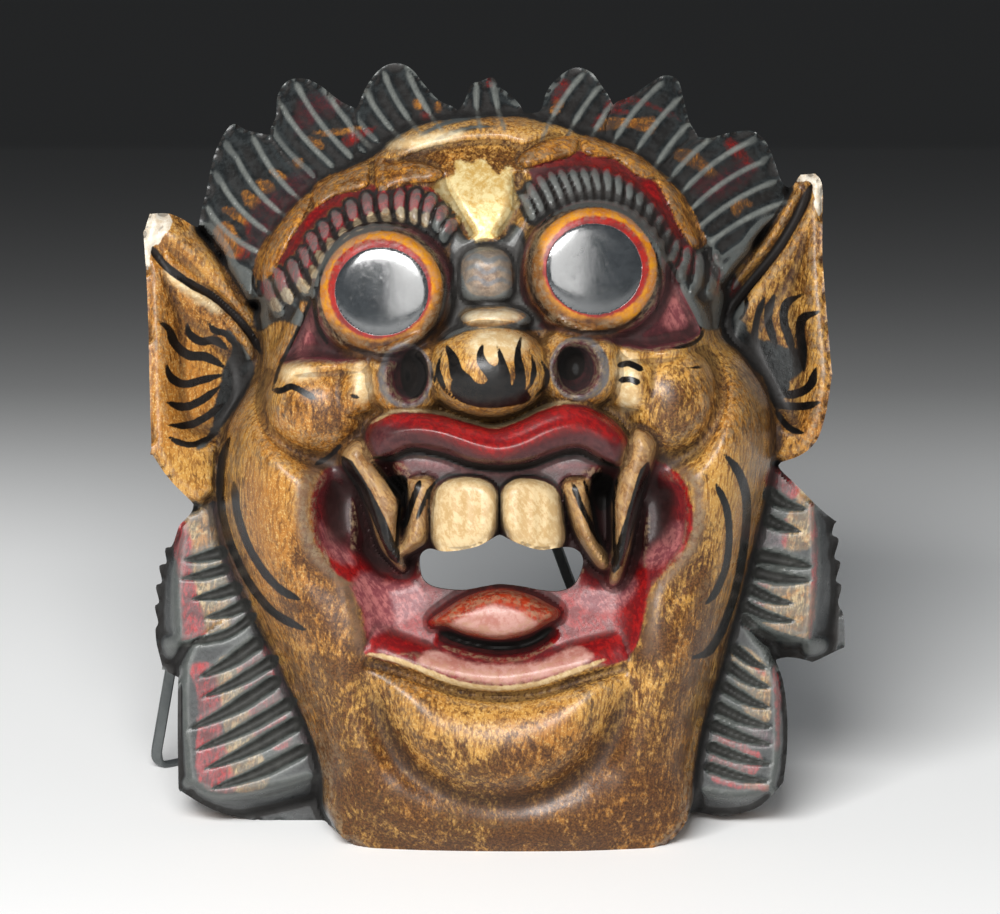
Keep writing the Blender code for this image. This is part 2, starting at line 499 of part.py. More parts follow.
def clip_grid(step):
    """Triangles over a regular grid, cut off at the outline, with the open edges in order."""
    xs = np.arange(-126.0, 126.0 + step, step)
    zs = np.arange(-16.0, 276.0 + step, step)
    x, z = np.meshgrid(xs, zs)
    edge, _ = outline(x.ravel(), z.ravel())
    edge = edge.reshape(x.shape)
    gz, gx = np.gradient(edge, step)
    size = np.maximum(gx ** 2 + gz ** 2, 0.2)
    close = np.abs(edge) < 0.3 * step
    x = np.where(close, x - edge * gx / size, x).ravel()
    z = np.where(close, z - edge * gz / size, z).ravel()
    edge = np.where(close, 0.0, edge).ravel()
    index = np.arange(x.size).reshape(len(zs), len(xs))
    a, b = index[:-1, :-1].ravel(), index[:-1, 1:].ravel()
    c, d = index[1:, 1:].ravel(), index[1:, :-1].ravel()
    triangles = np.vstack([np.column_stack([a, b, c]), np.column_stack([a, c, d])])
    sign = np.sign(edge)[triangles]
    whole = (sign <= 0).all(axis=1) & (sign < 0).any(axis=1)
    cut = (sign > 0).any(axis=1) & (sign < 0).any(axis=1)
    kept = [tuple(t) for t in triangles[whole]]
    points = list(zip(x, z))
    crossings = {}

    def crossing(i, j):
        key = (min(i, j), max(i, j))
        if key not in crossings:
            t = edge[i] / (edge[i] - edge[j])
            crossings[key] = len(points)
            points.append((x[i] + t * (x[j] - x[i]), z[i] + t * (z[j] - z[i])))
        return crossings[key]

    for triangle in triangles[cut]:
        ring = []
        for i, j in zip(triangle, np.roll(triangle, -1)):
            if edge[i] <= 0:
                ring.append(i)
            if edge[i] * edge[j] < 0:
                ring.append(crossing(i, j))
        for k in range(1, len(ring) - 1):
            kept.append((ring[0], ring[k], ring[k + 1]))
    used = sorted({i for t in kept for i in t})
    place = {old: new for new, old in enumerate(used)}
    kept = [tuple(place[i] for i in t) for t in kept]
    points = np.array([points[i] for i in used])
    directed = {(t[i], t[(i + 1) % 3]) for t in kept for i in range(3)}
    open_edges = [(i, j) for i, j in directed if (j, i) not in directed]
    return points, kept, sorted(open_edges)


def relief_mesh(name, step):
    """The two-sided relief as a closed mesh in the mask's own frame, rim plane at Y = 0."""
    points, faces, open_edges = clip_grid(step)
    x, z = points.T
    _, face = outline(x, z)
    front_depth = front(x, z, face).r
    back_depth = hollow(x, z, face, front_depth)
    count = len(points)
    verts = []
    for depth in (front_depth, back_depth):
        verts.append(np.column_stack([x * SCALE_X, -depth * SCALE_R, z * SCALE_Z]))
    solid = list(faces)
    solid += [(c + count, b + count, a + count) for a, b, c in faces]
    for a, b in open_edges:
        solid.append((b, a, a + count))
        solid.append((b, a + count, b + count))
    mesh = bpy.data.meshes.new(name)
    mesh.from_pydata(np.vstack(verts).tolist(), [], solid)
    return mesh


def material(name, colour, roughness, metallic):
    made = bpy.data.materials.new(name)
    made.use_nodes = True
    shader = made.node_tree.nodes['Principled BSDF']
    shader.inputs['Base Color'].default_value = (*colour, 1.0)
    shader.inputs['Roughness'].default_value = roughness
    shader.inputs['Metallic'].default_value = metallic
    return made


def add_object(name, mesh, looks=None):
    made = bpy.data.objects.new(name, mesh)
    bpy.context.collection.objects.link(made)
    if looks:
        mesh.materials.append(looks)
    return made


def add_cutter(name, location, tilt, size):
    """A guide block that only cuts; it isn't part of the object."""
    mesh = bpy.data.meshes.new(name)
    block = bmesh.new()
    bmesh.ops.create_cube(block, size=size)
    block.to_mesh(mesh)
    block.free()
    made = add_object(name, mesh)
    made.location = location
    made.rotation_euler = (tilt, 0.0, 0.0)
    made.hide_render = True
    made.display_type = 'WIRE'
    return made


def cut_with(target, cutter, operation='DIFFERENCE'):
    cut = target.modifiers.new(cutter.name, 'BOOLEAN')
    cut.operation = operation
    cut.object = cutter
    cut.solver = 'EXACT'


def in_room(point):
    """A point of the mask's own frame, where it stands in the room."""
    x, y, z = point
    return (x, y * math.cos(LEAN) + z * math.sin(LEAN) + MASK_Y,
            z * math.cos(LEAN) - y * math.sin(LEAN) + MASK_Z)


def add_mask():
    """One block of wood: face, ears and hair tufts, hollowed from the back."""
    mesh = relief_mesh('mask', CARVING_STEP / SCALE_X)
    looks = material('painted_wood', (0.30, 0.16, 0.05), 0.35, 0.0)
    mask = add_object('mask', mesh, looks)
    mask.location = (0.0, MASK_Y, MASK_Z)
    mask.rotation_euler = (-LEAN, 0.0, 0.0)
    thin = mask.modifiers.new('fewer_facets', 'DECIMATE')
    thin.ratio = MASK_FACETS / len(mesh.polygons)
    block = 2.0 * MASK_HEIGHT
    back = in_room((0.0, block / 2, MASK_HEIGHT / 2))
    cut_with(mask, add_cutter('back_plane', back, -LEAN, block))
    cut_with(mask, add_cutter('floor_plane', (0.0, 0.0, -block / 2), 0.0, block))
    return mask


def strip_mesh(name, path, normals, closed):
    """A flat strip swept along a path, its broad side square to each normal."""
    made = bmesh.new()
    rings = []
    count = len(path)
    for i, (point, normal) in enumerate(zip(path, normals)):
        before = path[i - 1] if closed or i else path[i]
        after = path[(i + 1) % count] if closed or i < count - 1 else path[i]
        along = (after - before) / np.linalg.norm(after - before)
        flat = normal - along * np.dot(normal, along)
        flat = flat / np.linalg.norm(flat)
        across = np.cross(along, flat)
        corners = []
        for side, face in ((-1, -1), (1, -1), (1, 1), (-1, 1)):
            corner = point + across * side * STRIP_WIDTH / 2 + flat * face * STRIP_THICKNESS / 2
            corners.append(made.verts.new(corner))
        rings.append(corners)
    pairs = list(zip(rings, rings[1:] + rings[:1])) if closed else list(zip(rings, rings[1:]))
    for ring, following in pairs:
        for k in range(4):
            made.faces.new((ring[k], ring[(k + 1) % 4], following[(k + 1) % 4], following[k]))
    if not closed:
        made.faces.new(rings[0][::-1])
        made.faces.new(rings[-1])
    bmesh.ops.recalc_face_normals(made, faces=made.faces)
    mesh = bpy.data.meshes.new(name)
    made.to_mesh(mesh)
    made.free()
    return mesh


def rounded(points, radii, steps=5):
    """A path with its corners rounded, given as corner points and radii."""
    path = []
    count = len(points)
    for i, (point, radius) in enumerate(zip(points, radii)):
        if radius == 0:
            path.append(point)
            continue
        into = points[i - 1] - point
        out = points[(i + 1) % count] - point
        into = into / np.linalg.norm(into)
        out = out / np.linalg.norm(out)
        half = math.acos(np.clip(np.dot(into, out), -1, 1)) / 2
        reach = radius / math.tan(half)
        start = point + into * reach
        end = point + out * reach
        for k in range(steps + 1):
            t = k / steps
            path.append(start * (1 - t) ** 2 + point * 2 * t * (1 - t) + end * t ** 2)
    return path


def resting_height():
    """Height of the highest place where the easel's top bar or a leg touches the mask's rim."""
    face = smooth_line(FACE, True)
    for height in np.linspace(STAND_HEIGHT, 0.0, 400):
        reach = FOOT_HALF_SPAN + (TOP_HALF_SPAN - FOOT_HALF_SPAN) * height / STAND_HEIGHT
        places = 60 if height == STAND_HEIGHT else 2
        x = (STAND_CENTRE_X + np.linspace(-reach, reach, places)) / SCALE_X
        z = np.full_like(x, (height - MASK_Z) / math.cos(LEAN) / SCALE_Z)
        if (measure(x, z, face, True)[0] < STRIP_WIDTH / 2 / SCALE_X).any():
            return height


def add_stand():
    """One strip bent into two legs, a top bar and a V of runners, with two curved struts behind."""
    looks = material('grey_steel', (0.16, 0.16, 0.17), 0.4, 0.6)
    half = STRIP_THICKNESS / 2
    rim_y = in_room((0.0, 0.0, 0.0))[1] - in_room((0.0, 0.0, 0.0))[2] * math.tan(LEAN)
    rest = resting_height()
    rest_y = rim_y + rest * math.tan(LEAN) + (half + FIT_GAP) / math.cos(LEAN)
    top_y = FOOT_BACK + (rest_y - FOOT_BACK) * STAND_HEIGHT / rest
    centre = np.array([STAND_CENTRE_X, 0.0, 0.0])
    foot = np.array([FOOT_HALF_SPAN, FOOT_BACK, half])
    top = np.array([TOP_HALF_SPAN, top_y, STAND_HEIGHT])
    rear = np.array([0.0, FOOT_BACK + RUNNER_DEPTH, half])
    mirror = np.array([-1.0, 1.0, 1.0])
    corners = [rear + centre, foot * mirror + centre, top * mirror + centre, top + centre, foot + centre]
    path = rounded(corners, [BEND_RADIUS, BEND_RADIUS, CORNER_RADIUS, CORNER_RADIUS, BEND_RADIUS])
    normals = []
    forward = np.array([0.0, -math.cos(LEAN), math.sin(LEAN)])
    down = np.array([0.0, 0.0, -1.0])
    for point in path:
        share = np.clip((point[2] - half) / (2 * BEND_RADIUS), 0, 1)
        normals.append(down * (1 - share) + forward * share)
    frame = add_object('stand', strip_mesh('stand', path, normals, True), looks)
    spread = np.array([1 - STRUT_FOOT_SHARE, FOOT_BACK + RUNNER_DEPTH * STRUT_FOOT_SHARE])
    land = np.array([FOOT_HALF_SPAN * spread[0], spread[1], half])
    start = np.array([STRUT_TOP_HALF_SPAN, top_y + half, STAND_HEIGHT - STRIP_WIDTH * 0.2])
    for side in (-1.0, 1.0):
        turn = np.array([side, 1.0, 1.0])
        strut = []
        for k in range(13):
            t = k / 12
            drop = start[2] + (land[2] - start[2]) * t
            out = start[0] + (land[0] - start[0]) * t ** 2.2
            back = start[1] + (land[1] - start[1]) * t
            strut.append(np.array([out, back, drop]) * turn + centre)
        facing = [np.array([0.0, 1.0, 0.2])] * len(strut)
        name = 'strut_left' if side < 0 else 'strut_right'
        guide = add_object(name, strip_mesh(name, strut, facing, False), looks)
        guide.hide_render = True
        guide.display_type = 'WIRE'
        cut_with(frame, guide, 'UNION')
    return frame


for old in list(bpy.data.objects):
    bpy.data.objects.remove(old, do_unlink=True)
add_mask()
add_stand()
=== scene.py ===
import math

import bmesh
import bpy
import numpy as np
from mathutils import Matrix, Vector


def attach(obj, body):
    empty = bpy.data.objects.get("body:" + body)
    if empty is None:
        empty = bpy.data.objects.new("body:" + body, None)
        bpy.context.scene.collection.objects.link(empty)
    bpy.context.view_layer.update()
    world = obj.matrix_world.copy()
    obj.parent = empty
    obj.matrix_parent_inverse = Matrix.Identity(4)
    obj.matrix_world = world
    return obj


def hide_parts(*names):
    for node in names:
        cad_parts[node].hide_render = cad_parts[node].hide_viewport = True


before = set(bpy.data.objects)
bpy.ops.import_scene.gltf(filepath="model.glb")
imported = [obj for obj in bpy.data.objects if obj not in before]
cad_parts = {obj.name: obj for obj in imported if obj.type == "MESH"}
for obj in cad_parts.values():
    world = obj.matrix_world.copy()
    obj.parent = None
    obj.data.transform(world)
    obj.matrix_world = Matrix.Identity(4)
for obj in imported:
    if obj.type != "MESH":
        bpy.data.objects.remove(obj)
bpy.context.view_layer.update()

# The mask
# One block of soft wood, carved in front and hollowed behind, sealed with gold-brown lacquer and painted
# in black, red, plum, cream and orange, with gold leaf on the brow. It stands on the flat of its chin.
# Sizes are millimetres on the block: x to the right, z up along the face, depth forward of the rim's plane.
LEAN = math.radians(15.0)
SINE, COSINE = math.sin(LEAN), math.cos(LEAN)
CHIN_TRIM = 13.4
FLAT_MIDDLE = 26.0
# how far behind the frame's origin the block's own origin lies
MASK_Y = FLAT_MIDDLE * COSINE - (CHIN_TRIM - FLAT_MIDDLE * math.tan(LEAN)) * SINE
GRID = 0.85
X_LOW, X_HIGH, Z_LOW, Z_HIGH = -126.0, 126.0, -16.0, 276.0
RIM_WIDTH = 14.0
HOLLOW_ROUNDING = 30.0
WALL = 12.0
EAR_THICKNESS = 12.0
TUFT_THICKNESS = 24.0
SIDE_TUFT_BACK = 6.0
# share of the back's facets that is kept
BACK_KEEP = 0.635


def drawn(text):
    """Points of a drawing, each written x,z in millimetres on the block."""
    return [tuple(float(v) for v in pair.split(',')) for pair in text.split()]


def rows(text):
    """Rows of a drawing: words and numbers, then the points of one line. A row may run on over lines."""
    found = []
    for word in ' '.join(line for line in text.splitlines() if line[:1] != '#').split():
        if ',' in word:
            found[-1][-1] += drawn(word)
        else:
            if not found or found[-1][-1]:
                found.append([[]])
            found[-1].insert(-1, word if word[0].isalpha() else float(word))
    return found


# depth of the hollow behind, by height
HOLLOW_DEPTHS = drawn('-20,8 20,10 40,34 60,44 90,45 125,46 160,60 190,64 215,58 240,44 262,30')
# outlines of the face, the ears and the gap of the mouth
FACE = drawn('-28,248.5 -42,239 -62,228 -76,216 -84,200 -83,184 -82,168 -87,157 -95,144 -98,128 -97,108 -91,91 '
             '-83,75 -74,57 -66,40 -61.5,25 -61,14 -54,4 -42,-3 -28,-14 38,-14 50,-3 60,4 66,14 67,27 70,42 75,58 '
             '80,76 86,98 92,122 95,142 92,156 84,168 76,178 77,192 70,209 60,228 46,238 30,244.5 16,249.5 0,251.5')
EAR_LEFT = drawn('-122.3,211 -122.3,211 -120.3,218 -120.3,218 -113,218 -105,213.5 -97,204.5 -88,191 -78,178 -70,165 '
                 '-70,140 -90,120 -104,117.5 -104,117.5 -113.5,127 -119.6,136 -119.6,136 -120.2,160 -121,190')
EAR_RIGHT = drawn('103,231.5 103,231.5 108,232 108,232 110.8,227 110.7,205 112.5,180 114,163 114,163 111.5,148 '
                  '107,138 96,133 80,135 66,160 68,178 78,196 89,209 97,221')
MOUTH_HOLE = drawn('-27.5,98 -26.3,92.8 -22,90 -13,89 -5,90.3 0,91 7,90.3 14,89 20.5,88.7 25.5,91 28.3,97 28,101 '
                   '25,103.5 20,103.8 14,103 8,104.5 3,106.7 0,108 -2.5,107 -7,104.5 -13,103 -19,102.5 -24,103.3 '
                   '-27,101.5')
# hair tufts: number of scoops, the four corners of the fan that the ribs between them make, then the outline
TUFTS = rows('''
5 -88,199 -64,229 -106,212 -80,254 -96,205 -103,214 -101,226 -98.5,238 -95,246 -91.5,249.3 -87,247 -78,245 -68,243
  -60,232 -70,200 -88,188
4 -66,233 -40,246 -84,254 -56,272 -78,243 -77,252 -76.5,259 -73.5,263.8 -68,265 -62,262.5 -55,257 -46,251 -42,235
  -60,225
4 -40,241 -14,249 -54,258 -26,276 -50,249 -48,257 -45,263.5 -40.5,268.5 -35.5,270 -30.5,268 -26,262.5 -21,257
  -14,252.5 -14,240 -45,232
3 -15,248 9,248 -13,268 3,268 -15,251 -12,257 -10,262.3 -6.5,263.6 -2.5,265 0,261.5 4,258.5 8,252.5 8,240 -15,240
4 8,248 36,236 24,272 50,258 6,251.5 13.5,253 16,260 20,265 25.5,268.3 31,267 35,262 38.5,256 44,240 10,240
4 30,243 58,226 48,268 76,248 38,254 45,258.5 50,262 56,265.7 61,264.5 63,258 65,250 68,242 60,228 38,238
6 54,234 72,200 76,256 104,216 64,243 72,244.2 80,246.3 87,246.7 91.5,243 94.5,236 96.5,230 99,225.5 97,219 88,209
  76,190 54,225''')
TUFT_LOOPS = [points[4:] for _, points in TUFTS]
# side tufts: the outline and the flat face inside its bevel, one pair for each
SIDES = rows('''
out -96,121 -104,117.5 -104,117.5 -110.5,111 -110.5,111 -113,104 -115.5,103 -115,98 -117.6,97 -116.6,91.5 -118.8,90
  -117.6,84.5 -119.2,83 -118,77.5 -119,75 -118.5,70 -118.5,70 -116.5,61.5 -116.5,61.5 -110,58.5 -98,60 -70,70
  -80,100
face -90,124 -104,117 -109,110 -109,110 -111,96 -111.5,84 -111,71.5 -111,71.5 -100,71 -84,80 -78,100
out -104,72 -110.8,62 -110.8,62 -111,40 -110.8,20 -110.8,20 -99,13 -84,9 -66,8 -50,12 -60,50 -80,82
face -103,72 -108.8,62 -108.8,62 -108.6,42 -107,23.5 -107,23.5 -98,18.5 -82,20.5 -62,25.5 -50,30 -60,50 -80,82
out 88,133 94.5,132 94.5,132 102,125 110,117 115.8,112.5 115.8,112.5 114.6,108 117,106 115.4,100 117.6,98 116,92
  118,90 116.8,84 118.6,80 119.2,69 119.2,69 108,63.8 108,63.8 99,65.5 80,64 78,100
face 86,135 94.5,131.5 102,125 108,117 108,117 108.5,98 107.5,82 106,71.5 106,71.5 92,75 76,80 80,110
out 78,78 93,69 93,69 97.3,58 98.9,46 98.9,34 97.6,22.5 97.6,22.5 90,14.5 82,11.5 72,11.3 58,18 62,50
face 78,78 91,68.5 91,68.5 95,58 95.8,44 95.5,30 93.5,20.5 93.5,20.5 82,18 69,20 58,24 62,50''')
SIDE_LOOPS = [points for _, points in SIDES[::2]]
# knife cuts of the side tufts: width, then the line from the point to the blunt end
SIDE_CUTS = rows('''
4 -109.7,99.1 -102,100.2 -93.5,102.4
3.6 -110.8,92.7 -102,94 -93,96.6
4.2 -106.5,85.6 -98,87.2 -88.5,90.2
3.8 -102.2,79.2 -94,81 -85.5,84.8
3.4 -117,69 -103.8,71.2 -93.1,74 -83.5,81
5 -103.8,58.6 -93,64 -81.5,72
4.2 -103.3,51.5 -90,57.5 -76,65.9
5.2 -108.1,40.5 -92,48 -75.4,58.7
4.4 -105.9,33 -88,41 -69.6,51.5
5.2 -102.2,26.9 -86,34 -67.4,44.5
4.8 -100.6,19.9 -83,26 -65.3,35.1
2.4 -110,22.5 -98,17.8 -79.2,18.8 -61,25
4.6 106,116.5 98,118.5 90.5,123.5
4.2 104,108.8 97,110.8 90.5,113.6
5.6 108.5,96.6 98,98.8 87.5,100.6
5 108.4,92.2 97,93 86.8,95.4
4 101.5,84 93,86 84.4,90.2
4 102.5,77.8 92,79.8 82.6,84
3.6 106.8,71.6 98,72.4 90,75 83,80.5
3.4 93.8,61.2 87,64 79.5,69.6
3.8 94.3,54.7 86,57.8 77.6,63.6
4.2 94.3,47.7 85,51 75.6,56.6
4.6 94.3,41.3 84,44.2 73.4,49.4
4.2 94.8,35.4 84,38 71.8,43
4 94.3,28.7 83,31 70.9,35.6
3.6 93.8,23 83,24.4 70.2,28.6''')
# middle and half sizes of the pupils, and half sizes of the rings round them
EYES = {-1: dict(c=(-40.2, 190.8), r=(15.9, 15.0), ring=(21.2, 20.9)),
        1: dict(c=(32.0, 198.4), r=(16.3, 15.5), ring=(21.7, 21.2))}
EYE_TILT = 0.15
MOUTH = drawn('-54,132 -61,129 -64.5,118 -63,106 -57,98 -51,91 -47,80 -45,70 -42,66 -27,62 -10,56 0,55 12,56.5 28,62 '
              '40,64 46,70 49,80 51,89 58,97 63.5,105 65,115 63,125 57,131 50,134 40,132 20,134 0,131 -20,134 '
              '-44,134')
LIP = drawn('-46,141 -43,147.5 -37,150 -30,150.3 -20,149.3 -10,146.5 -2,145 6,147.2 13,150.5 21,153 30,151.8 '
            '38,147.5 43,142 43,136 40,131 33,134 27,137 20,136 10,132.5 0,131.3 -10,132.5 -20,136 -30,137.3 '
            '-37,134.5 -43,133.5')
TOOTH_L = drawn('-23.7,110 -23,121 -19.5,126 -12,127.8 -4.5,126.5 -0.8,122 -0.6,113 -2,108 -7,104.3 -14,102.6 '
                '-20,102.4 -23,105')
TOOTH_R = drawn('0.2,113 0.3,122 4,126.6 10,127.3 17,125.5 20.8,120.5 22,112 22.2,106 19.5,103.4 14,102.8 8,104.5 '
                '2.5,107.5')
FANG_L = drawn('-22,127 -23.5,116 -24.5,107 -27,104 -35.5,100 -33,108 -31.5,117 -31.5,127')
FANG_R = drawn('21,126 23.5,114 27,106 33,97.5 36.8,96.8 36.8,101 33,108 31,118 30,127')
TUSK_L = drawn('-54,134 -51,139 -47,140.5 -43,134 -37,126 -33,120 -34,112 -33.5,103 -32.5,96 -36,98 -41,104 -44,113 '
               '-48,124')
TUSK_R = drawn('45,143 48.5,143.8 52,141.5 53.3,137.5 51.5,131 48.5,122 46,112 44,102 41,93 37.8,91.5 37.8,98 '
               '38.2,108 38,120 41,132')
TONGUE = drawn('-24,78 -18,83.3 -10,87.8 0,89.8 10,87.8 17,84.3 20.5,81 16,77.5 9,74 0,72.3 -10,73.6 -18,76.5')
CHIN = drawn('-45,62 -40,50 -35,38.5 -27,28 -14,20 0,18 12,20 23,27 32,37.5 38,49 43,61 30,60 15,54 0,52 -15,54 '
             '-30,60')
LEAVES = rows('''
leaf -84.5,197 -82,206 -75,215.5 -66.5,224.5 -65,221 -72,208 -79,196
leaf -64,227 -56,232 -46,235 -44.5,231 -46,226.5 -56,224 -63,220
leaf -42.5,238 -38,236 -28,235.5 -20,232 -22,228.5 -32,227.5 -42,226
leaf 6.5,236.5 12,241.5 20,244 26.5,244 25,238 16,235 9,233.5
leaf 28,244.3 37,242.5 45,239.5 51,235.5 53.5,231.5 47,230.5 40,236 29,238
leaf 54,230 60,227.5 65,221 69,213 70.5,207.5 66,206 61,213.5 57,222''')
CAP = drawn('-42,236.5 -38.5,242.8 -29,248 -15,251.2 0,251.3 11,249.3 18.7,247.8 15.5,244 8.5,241.2 0,243 -12,242.5 '
            '-25,240 -35,236')
# brows: tip and heel of each rib in turn
BROWS = rows('''
-1 -80.5,194 -75.5,184.5 -76,197.5 -71.5,187.5 -71,200.5 -65.8,190.5 -67,204.5 -62,195.5 -64.3,209.5 -60,200.5
  -60.3,213.5 -56.3,204.5 -56,217 -52,208.3 -51,220.6 -47.4,211.2 -45.6,223.2 -42.8,213.2 -40,224.4 -38,214.2
  -34.3,225 -33.4,214.6 -28.6,224.3 -29.2,214.2 -23.8,222.4 -25.6,213.2 -19.3,219 -22.4,211.4 -15.8,214.6 -19.8,209
1 7.4,223.6 11.4,215.8 10.2,226.6 14.6,217.4 13.8,229.2 18.4,219 17.4,230.8 21.8,220.2 20.9,231.6 25,221 24.6,232
  28,221.6 28.4,232.2 30.9,221.8 32.2,232.2 33.6,221.8 36.4,231.6 36.4,221.2 40.4,229.8 39.4,220 44.2,227.2 42.4,218
  47.8,224 45.2,215.8 51.3,220.2 48,213 54.4,216 50.9,209.8 57.3,211.6 53.8,206 60.3,208 57.4,201.4 64,205.6
  61.4,196 68.6,204 66.4,191.6 73.6,203.6 72.2,190.6''')
BROWS = {side: list(zip(points[::2], points[1::2])) for side, points in BROWS}
RIB_WIDTHS = {-1: 2.5, 1: 1.85}


def smooth_line(points, closed=False, steps=5):
    """Catmull-Rom curve through a few points."""
    p = np.array(points, float)
    if closed:
        p = np.vstack([p[-1:], p, p[:2]])
    else:
        p = np.vstack([2 * p[0] - p[1], p, 2 * p[-1] - p[-2]])
    t = np.linspace(0, 1, steps, endpoint=False)[:, None]
    parts = []
    for a, b, c, d in zip(p, p[1:], p[2:], p[3:]):
        bend = 2 * a - 5 * b + 4 * c - d
        twist = 3 * b - a - 3 * c + d
        parts.append(0.5 * (2 * b + (c - a) * t + bend * t ** 2 + twist * t ** 3))
    if not closed:
        parts.append(p[-2:-1])
    return np.vstack(parts)


def profile(values, at):
    """Smooth curve through (position, value) pairs."""
    curve = smooth_line(values, steps=8)
    return np.interp(at, curve[:, 0], curve[:, 1])


def fade(t):
    t = np.clip(t, 0, 1)
    return t * t * (3 - 2 * t)


def measure(x, z, line, closed):
    """Distance to a line, negative inside a closed one, and the place along it from 0 to 1."""
    ends = np.roll(line, -1, axis=0) if closed else line[1:]
    starts = line if closed else line[:-1]
    steps = np.hypot(*(ends - starts).T)
    total = steps.sum()
    best = np.full(x.shape, 1e12)
    along = np.zeros(x.shape)
    inside = np.zeros(x.shape, bool)
    done = 0.0
    for a, b, step in zip(starts, ends, steps):
        e = b - a
        if step < 1e-9:
            continue
        t = np.clip(((x - a[0]) * e[0] + (z - a[1]) * e[1]) / step ** 2, 0, 1)
        away = (x - a[0] - t * e[0]) ** 2 + (z - a[1] - t * e[1]) ** 2
        near_it = away < best
        best = np.where(near_it, away, best)
        along = np.where(near_it, (done + t * step) / total, along)
        done += step
        if closed and a[1] != b[1]:
            inside ^= ((a[1] > z) != (b[1] > z)) & (x < e[0] * (z - a[1]) / e[1] + a[0])
    best = np.sqrt(best)
    return np.where(inside, -best, best), along


def within(x, z, *loops):
    """Distance to the nearest of some outlines, negative inside it."""
    return np.minimum.reduce([measure(x, z, smooth_line(loop, True), True)[0] for loop in loops])


def near(x, z, points, reach, closed):
    """The places close to a drawn line, their distance from it and their share of the way along it."""
    line = smooth_line(points, closed)
    lo, hi = line.min(axis=0) - reach, line.max(axis=0) + reach
    spot = np.where((x > lo[0]) & (x < hi[0]) & (z > lo[1]) & (z < hi[1]))[0]
    return (spot, *measure(x[spot], z[spot], line, closed))


def cut_share(along):
    """How far a knife cut has opened, from its pointed start to its blunt end."""
    return np.clip(along / 0.6, 0, 1) ** 0.7 * np.clip((1 - along) / 0.1, 0, 1) ** 0.5


def grid_points():
    return np.meshgrid(np.arange(X_LOW, X_HIGH + GRID, GRID), np.arange(Z_LOW, Z_HIGH + GRID, GRID))


def blurred(values, width):
    """A smooth copy of a grid, spread over about width millimetres."""
    size = max(1, int(round(width / GRID)))
    kernel = np.exp(-0.5 * (np.arange(-2 * size, 2 * size + 1) / size) ** 2)
    kernel /= kernel.sum()
    out = np.pad(values, 2 * size, mode='edge')
    for axis in (0, 1):
        out = np.apply_along_axis(np.convolve, axis, out, kernel, 'valid')
    return out


class Carving:
    """Depth in front of the back rim, worked feature by feature."""

    def __init__(self, x, z):
        self.x = x
        self.z = z
        self.r = np.zeros_like(x)

    def near(self, points, reach, closed):
        return near(self.x, self.z, points, reach, closed)

    def follow(self, text):
        """Works down rows that each give a kind of work, its sizes and its line."""
        for work, *sizes, points in rows(text):
            getattr(self, work)(points, *sizes)

    def blend(self, spot, top, mix):
        self.r[spot] = self.r[spot] * (1 - mix) + top * mix

    def swell(self, points, rise, reach):
        """Raise a closed area like a cushion: round at its edge, flat beyond the reach."""
        spot, away, _ = self.near(points, 0.5, True)
        t = np.clip(-away / reach, 0, 1)
        self.r[spot] += rise * np.sqrt(1 - (1 - t) ** 2)

    def lay(self, points, height, edge=1.5, shoulder=0.0, reach=4.0):
        """Cover a closed area with a surface of its own, its edge rolled down by shoulder."""
        spot, away, _ = self.near(points, edge, True)
        top = height(self.x[spot], self.z[spot]) if callable(height) else height
        t = np.clip(-away / reach, 0, 1)
        top = top - shoulder * (1 - np.sqrt(1 - (1 - t) ** 2))
        self.blend(spot, top, fade(0.5 - away / edge))

    def ridge(self, points, rise, width, ends=0.12):
        """A rounded ridge along a path, or a groove where the rise is negative."""
        spot, away, along = self.near(points, width, False)
        t = np.clip(np.abs(away) / width, 0, 1)
        tip = 1.0 if ends == 0 else np.clip(np.minimum(along, 1 - along) / ends, 0, 1) ** 0.5
        self.r[spot] += rise * (1 - t * t) ** 2 * tip

    def ball(self, cx, cz, rx, rz, top, drop, blend):
        """An ellipsoid boss whose rim lies drop below its top."""
        q = ((self.x - cx) / rx) ** 2 + ((self.z - cz) / rz) ** 2
        spot = np.where(q < 1)[0]
        height = top - drop * (1 - np.sqrt(1 - q[spot]))
        gap = np.clip((height - self.r[spot]) / blend + 0.5, 0, 1)
        self.r[spot] = self.r[spot] + (height - self.r[spot]) * gap + blend * 0.5 * gap * (1 - gap)

    def cut(self, points, depth, width):
        """A knife cut along a path: it starts as a point and is widest near its end."""
        spot, away, along = self.near(points, width, False)
        open_to = cut_share(along)
        share = np.clip(away / np.maximum(width * open_to, 0.05), 0, 1)
        self.r[spot] -= depth * open_to * (1 - share * share) ** 1.2

    def ribs(self, lines, rise, width):
        """Rounded ribs side by side, with sharp gaps between them."""
        lift = np.zeros_like(self.r)
        for line in lines:
            spot, away, _ = self.near(line, width, False)
            lift[spot] = np.maximum(lift[spot], rise * np.sqrt(np.clip(1 - (away / width) ** 2, 0, 1)))
        self.r += lift

    def even(self, shape, width):
        """Melt the forms made so far into each other."""
        self.r = blurred(self.r.reshape(shape), width).ravel()

    def pit(self, points, floor, edge):
        """Sink a closed area to a floor, with walls as wide as the edge."""
        spot, away, _ = self.near(points, edge, True)
        low = floor(self.x[spot], self.z[spot]) if callable(floor) else floor
        mix = fade(-away / edge)
        self.r[spot] = np.minimum(self.r[spot], self.r[spot] * (1 - mix) + low * mix)


def outline(x, z):
    """Distance to the carving's edge in mm, negative in the wood, and to the face alone."""
    face = within(x, z, FACE)
    edge = np.minimum(face, within(x, z, *TUFT_LOOPS, *SIDE_LOOPS))
    # the ears grow out of their neighbours without a slot between
    for ear in (EAR_LEFT, EAR_RIGHT):
        away = within(x, z, ear)
        edge = np.minimum(edge, away) - np.clip(1 - np.abs(away - edge) / 4, 0, 1) ** 2
    return np.maximum(edge, -within(x, z, MOUTH_HOLE)), face


